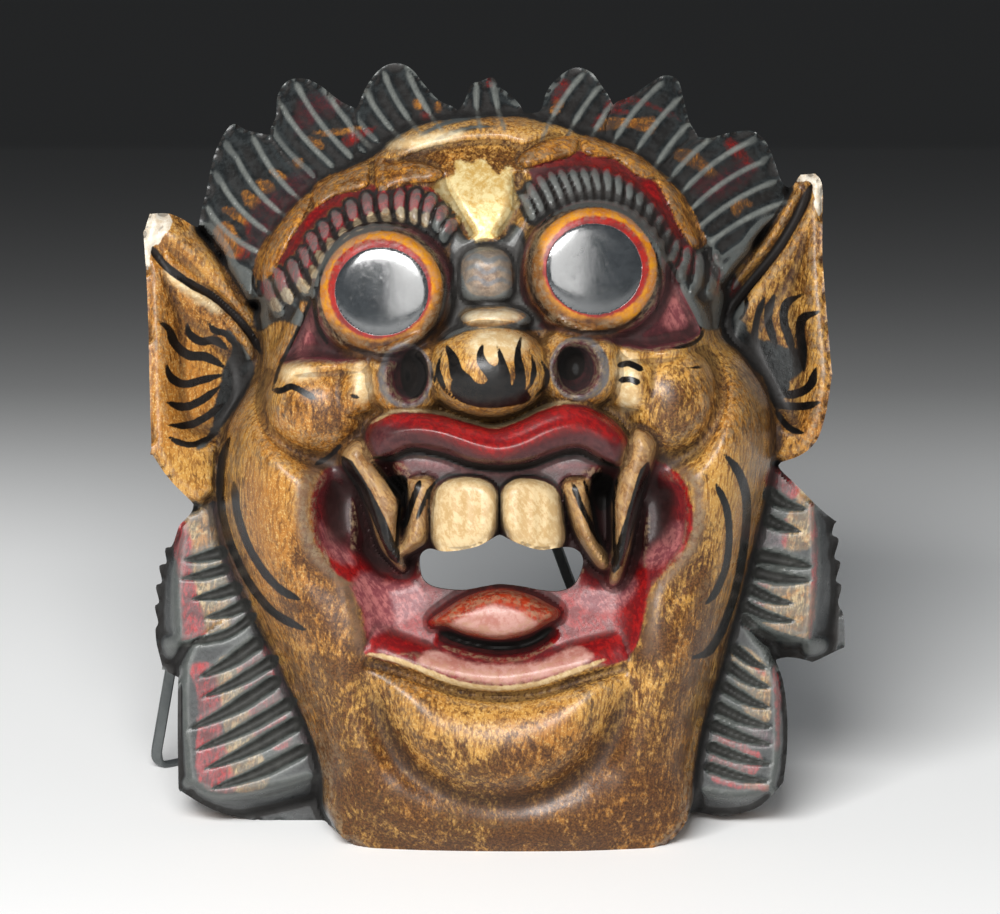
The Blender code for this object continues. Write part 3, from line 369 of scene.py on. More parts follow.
def tuft_height(x, z):
    out = np.hypot(x / 88, (z - 165) / 85)
    return 60 - 58 * np.maximum(out - 1, -0.2)


def ear_height(x, z):
    return 36 + 0.42 * np.maximum(np.abs(x) - 80, -10) - 0.02 * (z - 165)


def fan(corners, s, t):
    """The place at share s across a tuft's fan of ribs and share t along them."""
    a, b, d, c = np.array(corners)
    return [a[k] * (1 - s) * (1 - t) + b[k] * s * (1 - t) + c[k] * s * t + d[k] * (1 - s) * t for k in (0, 1)]


def scoop_share(x, z, ribs, corners):
    """Place across one scoop of a hair tuft, 0 and 1 on its ribs; the ribs fan out and bow."""
    a, b, d, c = np.array(corners)
    s = np.full(x.shape, 0.5)
    t = np.full(x.shape, 0.5)
    for _ in range(7):
        at = fan(corners, s, t)
        miss_x, miss_z = at[0] - x, at[1] - z
        across = (b - a)[:, None] * (1 - t) + (c - d)[:, None] * t
        along = (d - a)[:, None] * (1 - s) + (c - b)[:, None] * s
        size = across[0] * along[1] - across[1] * along[0]
        size = np.where(np.abs(size) < 1e-3, 1e-3, size)
        s = np.clip(s - (miss_x * along[1] - miss_z * along[0]) / size, -1, 2)
        t = np.clip(t - (across[0] * miss_z - across[1] * miss_x) / size, -1, 2)
    return (s + RIB_BOW * np.clip(t * (1 - t) * 4, 0, 1)) * ribs % 1.0


# how far the ribs of a hair tuft bow sideways, as a share of the fan's width
RIB_BOW = 0.04


def outer_parts(x, z):
    """Hair tufts, ears and side tufts."""
    c = Carving(x, z)
    for ribs, points in TUFTS:
        c.lay(points[4:], tuft_height, shoulder=4, reach=4)
        spot, away, _ = c.near(points[4:], 0.5, True)
        share = scoop_share(c.x[spot], c.z[spot], ribs, points[:4])
        c.r[spot] -= 1.9 * (1 - np.abs(2 * share - 1) ** 2.2) * fade(-away / 2.5)
    for ear in (EAR_LEFT, EAR_RIGHT):
        c.lay(ear, ear_height, shoulder=4, reach=4)
    for shell in (drawn('-117,200 -104,189 -92,179 -84,168 -84,150 -95,138 -108,138 -116,150 -117,175'),
                  drawn('107,215 96,203 86,189 80,175 86,158 96,143 106,143 110,160 108,185')):
        c.pit(shell, lambda x, z: ear_height(x, z) - 6, 9)
    c.follow('''
ridge 3 3.5 -117,203 -105,192.5 -95,185 -88,177 -85,168
ridge -3 2.8 -120,207.5 -115,200.5 -107,194.5 -99,190 -92,184 -85,176 -81,170
ridge 3 5 -116,213 -107,207 -98,198 -90,188 -82,177
ridge -3.2 3.6 106,229 102,218 96,207.5 89,198.5 82,190 77,183
ridge 3 4 102,227 97,217 90,206.5 83,199 77,190''')
    for (_, out), (_, face) in zip(SIDES[::2], SIDES[1::2]):
        spot, away, _ = c.near(out, 1.5, True)
        top = 36 - 20 * np.clip(within(c.x[spot], c.z[spot], face) / 8.0, 0, 1)
        c.blend(spot, top, fade(0.5 - away / 1.5))
    for width, path in SIDE_CUTS:
        c.cut(path, width * 0.62, width * 0.56)
    return c


def face_ground(x, z, face, shape):
    """The block's swelling forms, melted together: cheeks, jaw, chin, muzzle and the mouth's slopes."""
    low = profile(drawn('-20,46 10,46 40,34 80,30 150,32 185,42 215,50 240,60 262,62'), z)
    middle = profile(drawn('-20,40 -6,46 2,54 10,60 24,66 55,71 90,74 125,82 160,90 190,88 215,86 240,80 262,66'), z)
    u = np.clip(1 + face / 40.0, 0, 1)
    c = Carving(x, z)
    c.r = low + (middle - low) * np.sqrt(1 - u ** 2)
    c.follow('''
ridge 12 21 0.25 -76,172 -79,150 -77,124 -73,102 -67,84 -60,68 -56,46 -50,24
ridge 12 21 0.25 74,176 79,158 79,138 76,114 71,92 63,74 57,52 53,26
ridge 4.5 6 0.2 -56,134 -64,130 -67.5,119 -66,106 -60,98 -53,91 -49.5,80 -48,66
ridge 4.5 6 0.2 50,137 60,133 67,126 68,114 65.5,103 59.5,96 53.5,89 51,79 49.5,66
ridge -3.5 4.5 0.3 -71,116 -70,104 -64,94.5 -56,88
ridge -2.5 4.5 0.3 71,112 69,102 63,93 57,87
ridge -2 7 0.2 -44,63 -42,52 -36,38 -22,25 0,19 22,22 38,36 45,52 46,62
ridge 4 14 0.3 -60,42 -42,20 -18,9 10,6 35,11 58,32''')
    c.swell(CHIN, 13, 26)
    c.even(shape, 2.2)
    c.follow('''
ridge -1.6 7 0.3 -48,62 -43,44 -33,28 -16,18 2,15.5 17,18 32,28 42,45 46,62
ridge -10 8 0.25 -82,166 -79,152 -73,141 -62,134 -52,134
ridge -9 8 0.25 72,172 73,156 69,143 60,134 52,136''')
    c.ball(-61, 153, 19, 17, 96, 16, 7)
    c.ball(57, 155, 17, 19, 96, 16, 7)
    c.even(shape, 1.3)
    return c


def throat(x, z):
    """Floor of the mouth's hollow: level below, and scooped towards the corners above."""
    high = 71 - 13 * np.sin(np.clip((np.abs(x) - 26) / 24, 0, 1) * np.pi)
    low = 71 - 2 * np.clip((z - 62) / 30, 0, 1)
    return low + (high - low) * fade((z - 88) / 16)


def rib_line(side, tip, heel):
    """A brow rib from its outer tip to its heel, bowed away from the nose."""
    bow = 0.9 * side
    return [tip, ((tip[0] + heel[0]) / 2 + bow * 0.6, (tip[1] + heel[1]) / 2 - 0.3), heel]


def carve_eye(c, side):
    """Moat, ring and bulging pupil of one eye."""
    cx, cz = EYES[side]['c']
    rx, rz = EYES[side]['ring']
    inner = EYES[side]['r'][0] / rx
    q = np.hypot((c.x - cx) / rx, (c.z - cz) / rz)
    lean = 0.045 * (c.z - cz) - EYE_TILT * side * (c.x - cx)
    moat = 82 + 26 * np.sqrt(np.clip(1 - (q / 1.6) ** 2, 0, 1)) - 6 + lean * 0.5
    c.blend(slice(None), moat, fade((1.22 - q) / 0.16))
    top = 83 + 24 * np.sqrt(np.clip(1 - (q / 1.42) ** 2, 0, 1)) + lean
    band = 0.7 * np.sqrt(np.clip(1 - ((q - (inner + 1) / 2) / ((1 - inner) / 2)) ** 2, 0, 1))
    rim = 83 + 24 * np.sqrt(1 - (inner / 1.42) ** 2) + lean
    cap = rim - 0.6 + 1.1 * (1 - (q / inner) ** 2) + 0.8 * np.sqrt(np.clip(1 - (q / inner) ** 8, 0, 1))
    c.blend(slice(None), np.where(q > inner, top - 0.7 + band, cap), fade((1.0 - q) / 0.06 + 0.5))


def front(x, z, face, shape):
    """The whole front, laid on from the hair forward to the brows."""
    c = outer_parts(x, z)
    c.blend(slice(None), face_ground(x, z, face, shape).r, fade(0.5 - face / 2.0))
    # mouth: rolled edge, hollow, lower lip and tongue
    c.pit(MOUTH, throat, 12)
    c.follow('''
ridge 5.5 8 0.15 -45,71 -36,67 -26,63.5 -12,60 0,59 12,60.5 28,64.5 43,69
ridge -3 3 0.12 -47,65 -40,63.3 -28,59.2 -14,54.5 0,52.6 14,54 30,59 44,63
ridge -6 4 -21,74.2 -10,70.8 0,69.3 10,70.8 19,76''')
    c.lay(TONGUE, 87, 1.6, shoulder=8, reach=9)
    # gum, teeth, tusks and upper lip
    c.lay(drawn('-34,139 -36,128 -25,121 0,120 23,121 34,128 34,139 0,136'), 93, 3, shoulder=5, reach=6)
    for fang in (FANG_L, FANG_R):
        c.lay(fang, 96, 1.5, shoulder=7, reach=5)
    for tooth in (TOOTH_L, TOOTH_R):
        c.lay(tooth, lambda px, pz: 102 - 0.012 * (px + 0.3) ** 2, 1.0, shoulder=4.5, reach=4.5)
    for px in (-16.5, -11.5, -6.5, 5.5, 11, 16):
        c.ridge([(px, 124), (px + 0.3, 114), (px + 0.1, 106)], 0.35, 1.6, 0.3)
    for tusk in (TUSK_L, TUSK_R):
        c.lay(tusk, lambda px, pz: 97 - 0.10 * (134 - pz), 1.6, shoulder=8, reach=6)
    c.lay(LIP, lambda px, pz: 103 - 0.0035 * px ** 2, 1.6, shoulder=1, reach=3)
    c.swell(LIP, 6.5, 7)
    # lip's groove, then the nose with its wings
    c.follow('''
ridge 1.6 3.2 0.2 -40,141 -30,143.5 -20,142.5 -8,138.5 0,137 8,139 18,143.5 28,145 38,141
ridge 8 9 0.35 -48,170 -47,160 -46,149
ridge 8 9 0.35 45,172 44,161 43,151''')
    for ball in ((-31.5, 162.5, 13.5, 15.5, 106, 13, 5), (26.5, 165, 14.5, 15, 106, 13, 5),
                 (-4, 164, 21.5, 16.5, 118, 22, 5)):
        c.ball(*ball)
    for cx, cz, rx, rz in ((-31.2, 162.2, 7.6, 9.8), (26.0, 164.6, 8.2, 9.4)):
        loop = [(cx + rx * np.cos(a), cz + rz * np.sin(a)) for a in np.arange(8) * np.pi / 4]
        c.ridge(loop + loop[:1], 1.0, 2.6, 0)
        c.pit(loop, lambda px, pz: 89 + 0.7 * np.clip(np.abs(px - 1) - 27, 0, 12), 4.5)
    c.ball(-1.5, 181.5, 12, 4.6, 103, 8, 2)
    c.lay(drawn('-14,191 -13,202 -8,206 0,205.5 4.5,200 4.5,190 0,186.5 -9,186.5'), 98, 2, shoulder=8, reach=7)
    # brows: ribs side by side on a low swell
    for lines in BROWS.values():
        c.swell([tip for tip, _ in lines] + [heel for _, heel in reversed(lines)], 2.0, 4)
    for side, lines in BROWS.items():
        c.ribs([rib_line(side, tip, heel) for tip, heel in lines], 3.2, RIB_WIDTHS[side])
    for side in EYES:
        carve_eye(c, side)
    # lids, the leaves of the head band and its cap
    c.follow('''
ridge 4 3.6 0.1 -63,197 -67,187 -72,175 -77,166.2 -62,166.2 -48,166.8 -34,171.5 -24,176
ridge 4 3.6 0.1 50,213 58,202 64,191 70,177.3 60,171.7 48,170.6 36,173.5 24,178 14,182''')
    for _, leaf in LEAVES:
        c.swell(leaf, 3.6, 3)
    c.swell(CAP, 4, 5)
    c.follow('''
ridge -3 4 -22,231 -16,219 -10,209
ridge -3 4 6,232 6,220 0,209''')
    c.pit(drawn('-8.5,224 -4,224.5 -3.3,220.5 -8,220.5'), 84, 1.0)
    return c


def sampled(values, x, z):
    """Values of a grid between its points."""
    u = np.clip((x - X_LOW) / GRID, 0, values.shape[1] - 1.001)
    v = np.clip((z - Z_LOW) / GRID, 0, values.shape[0] - 1.001)
    i, j = u.astype(int), v.astype(int)
    u, v = u - i, v - j
    low = values[j, i] * (1 - u) + values[j, i + 1] * u
    high = values[j + 1, i] * (1 - u) + values[j + 1, i + 1] * u
    return low * (1 - v) + high * v


def hollow(x, z, face, front_depth):
    """Depth of the back: a flat rim, the hollow inside it, and the backs of ears and tufts."""
    inner = np.clip((-face - RIM_WIDTH) / HOLLOW_ROUNDING, 0, 1)
    bowl = profile(HOLLOW_DEPTHS, z) * np.sqrt(1 - (1 - inner) ** 2)
    # marks of the gouge
    bowl = bowl - 0.5 * inner * (np.sin(x * 0.55 + np.sin(z * 0.11) * 2) + np.sin(z * 0.32 + x * 0.09))
    back = np.where(face < 0, bowl, 0.0)
    ears, sides, tufts = within(x, z, EAR_LEFT, EAR_RIGHT), within(x, z, *SIDE_LOOPS), within(x, z, *TUFT_LOOPS)
    outer = np.where(sides < tufts, SIDE_TUFT_BACK, tuft_height(x, z) - TUFT_THICKNESS)
    outer = np.where(ears < np.minimum(sides, tufts), ear_height(x, z) - EAR_THICKNESS, outer)
    step = fade((face - 0.5) / 4.0)
    back = back * (1 - step) + np.maximum(outer, 2.0) * step
    return np.minimum(back, front_depth - WALL * np.where(face < 0, 1.0, 0.6))


def clip_grid(x, z, edge):
    """Triangles over the grid, cut off at the outline, with the open edges in order."""
    shape = x.shape
    gz, gx = np.gradient(edge, GRID)
    size = np.maximum(gx ** 2 + gz ** 2, 0.2)
    # points that lie close to the outline move onto it
    close = np.abs(edge) < 0.3 * GRID
    x = np.where(close, x - edge * gx / size, x).ravel()
    z = np.where(close, z - edge * gz / size, z).ravel()
    edge = np.where(close, 0.0, edge).ravel()
    index = np.arange(x.size).reshape(shape)
    a, b = index[:-1, :-1].ravel(), index[:-1, 1:].ravel()
    c, d = index[1:, 1:].ravel(), index[1:, :-1].ravel()
    triangles = np.vstack([np.column_stack([a, b, c]), np.column_stack([a, c, d])])
    sign = np.sign(edge)[triangles]
    touches = (sign < 0).any(axis=1)
    kept = triangles[(sign <= 0).all(axis=1) & touches].tolist()
    points = list(zip(x.tolist(), z.tolist()))
    crossings = {}

    def crossing(i, j):
        key = (min(i, j), max(i, j))
        if key not in crossings:
            t = edge[i] / (edge[i] - edge[j])
            crossings[key] = len(points)
            points.append((x[i] + t * (x[j] - x[i]), z[i] + t * (z[j] - z[i])))
        return crossings[key]

    for triangle in triangles[(sign > 0).any(axis=1) & touches].tolist():
        ring = []
        for i, j in zip(triangle, triangle[1:] + triangle[:1]):
            if edge[i] <= 0:
                ring.append(i)
            if edge[i] * edge[j] < 0:
                ring.append(crossing(i, j))
        kept += [[ring[0], ring[k], ring[k + 1]] for k in range(1, len(ring) - 1)]
    kept = np.array(kept)
    used, flat = np.unique(kept, return_inverse=True)
    kept = flat.reshape(kept.shape)
    rim = {(t[i], t[i - 2]) for t in kept.tolist() for i in range(3)}
    return np.array(points)[used], kept, sorted(pair for pair in rim if (pair[1], pair[0]) not in rim)


def carried_out(values, edge):
    """Depths just inside the edge carried a few steps outwards, so that the rim is cut clean."""
    known = edge < -0.5
    out = np.where(known, values, 0.0)
    for _ in range(6):
        total = np.zeros_like(out)
        count = np.zeros_like(out)
        for step, axis in ((1, 0), (-1, 0), (1, 1), (-1, 1)):
            total += np.roll(out * known, step, axis)
            count += np.roll(known, step, axis)
        fill = ~known & (count > 0)
        out[fill] = total[fill] / count[fill]
        known |= fill
    return np.where(known, out, values)


def add_object(name, mesh):
    made = bpy.data.objects.new(name, mesh)
    bpy.context.collection.objects.link(made)
    return made


def carve_mask():
    """The carving as a closed mesh, and the grid of its depths that the paint needs."""
    x, z = grid_points()
    edge, face = outline(x.ravel(), z.ravel())
    depth = front(x.ravel(), z.ravel(), face, x.shape).r.reshape(x.shape)
    edge = edge.reshape(x.shape)
    depth = carried_out(depth, edge)
    # the steepest cliffs are eased
    rise, run = np.gradient(depth, GRID)
    steep = np.clip((np.hypot(rise, run) - 1.3) / 1.2, 0, 1)
    steep = np.clip(blurred(steep, GRID) * 1.6, 0, 1) * (edge < 1.6)
    depth = depth + (blurred(depth, GRID) - depth) * steep
    back = hollow(x.ravel(), z.ravel(), face, depth.ravel()).reshape(x.shape)
    points, faces, rim = clip_grid(x, z, edge)
    px, pz = points.T
    count = len(points)
    sides = [np.column_stack([px, -sampled(grid, px, pz), pz]) for grid in (depth, back)]
    solid = faces.tolist() + (faces[:, ::-1] + count).tolist()
    for a, b in rim:
        solid += [[b, a, a + count], [b, a + count, b + count]]
    mesh = bpy.data.meshes.new('mask_carving')
    mesh.from_pydata((np.vstack(sides) / 1000).tolist(), [], solid)
    made = add_object('mask_carving', mesh)
    group = made.vertex_groups.new(name='back')
    kept = {i for pair in rim for i in pair}
    group.add([count + i for i in range(count) if i not in kept], 1.0, 'REPLACE')
    return made, depth


def thin_back(obj):
    """Fewer facets on the back, where the carving is plain."""
    thin = obj.modifiers.new('thin', 'DECIMATE')
    thin.ratio = BACK_KEEP
    thin.vertex_group = 'back'
    shaped = bpy.data.meshes.new_from_object(obj.evaluated_get(bpy.context.evaluated_depsgraph_get()))
    obj.modifiers.clear()
    obj.data = shaped


def trim(obj, point, normal):
    """Cuts the mesh flat at a plane and closes it there."""
    work = bmesh.new()
    work.from_mesh(obj.data)
    everything = work.verts[:] + work.edges[:] + work.faces[:]
    cut = bmesh.ops.bisect_plane(work, geom=everything, plane_co=point, plane_no=normal, clear_outer=True)
    edges = [e for e in cut['geom_cut'] if isinstance(e, bmesh.types.BMEdge)]
    bmesh.ops.triangle_fill(work, edges=edges, use_beauty=True)
    bmesh.ops.recalc_face_normals(work, faces=work.faces)
    work.to_mesh(obj.data)
    work.free()


# where the ground is browner (above 0) or brighter gold (below 0): brown stain and its rubbing, with painted shade on
# the jaw, the cheeks' outer sides and under the cap, and painted highlights on the nose, its wings, the cheek crests
# and the chin: middle, radii, amount
STAIN_SHADE_AND_HIGHLIGHT_SPOTS = [
    (0, 5, 75, 34, 0.75), (-52, 45, 18, 40, 0.35), (62, 72, 16, 30, 0.45), (58, 150, 14, 16, 0.55),
    (-93, 120, 9, 40, 0.5), (90, 125, 9, 42, 0.5), (-12, 236, 34, 6, 0.6), (104, 200, 10, 40, 0.45),
    (-60, 146, 14, 7, 0.35), (18, 150, 12, 8, 0.3), (0, 47, 36, 11, -0.75), (-2, 172, 11, 7, -1.3),
    (-47, 160, 5, 9, -1), (44, 160, 5, 11, -0.9), (-68, 162, 10, 5, -0.7), (-2, 245, 24, 6, -0.5),
    (-106, 196, 14, 9, -0.4), (52, 166, 16, 5, -0.6), (-80, 108, 6, 30, -0.35), (74, 130, 7, 30, -0.3),
    (-108, 148, 14, 26, -1), (-108, 180, 12, 14, 0.25), (-78, 122, 12, 20, -0.55), (84, 112, 10, 34, -0.5),
    (-36, 52, 12, 12, 0.3), (48, 30, 20, 24, 0.35), (-50, 25, 16, 22, 0.3), (68, 96, 6, 26, 0.3),
    (-66, 80, 12, 20, 0.35), (-64, 152, 14, 12, 0.2),
]
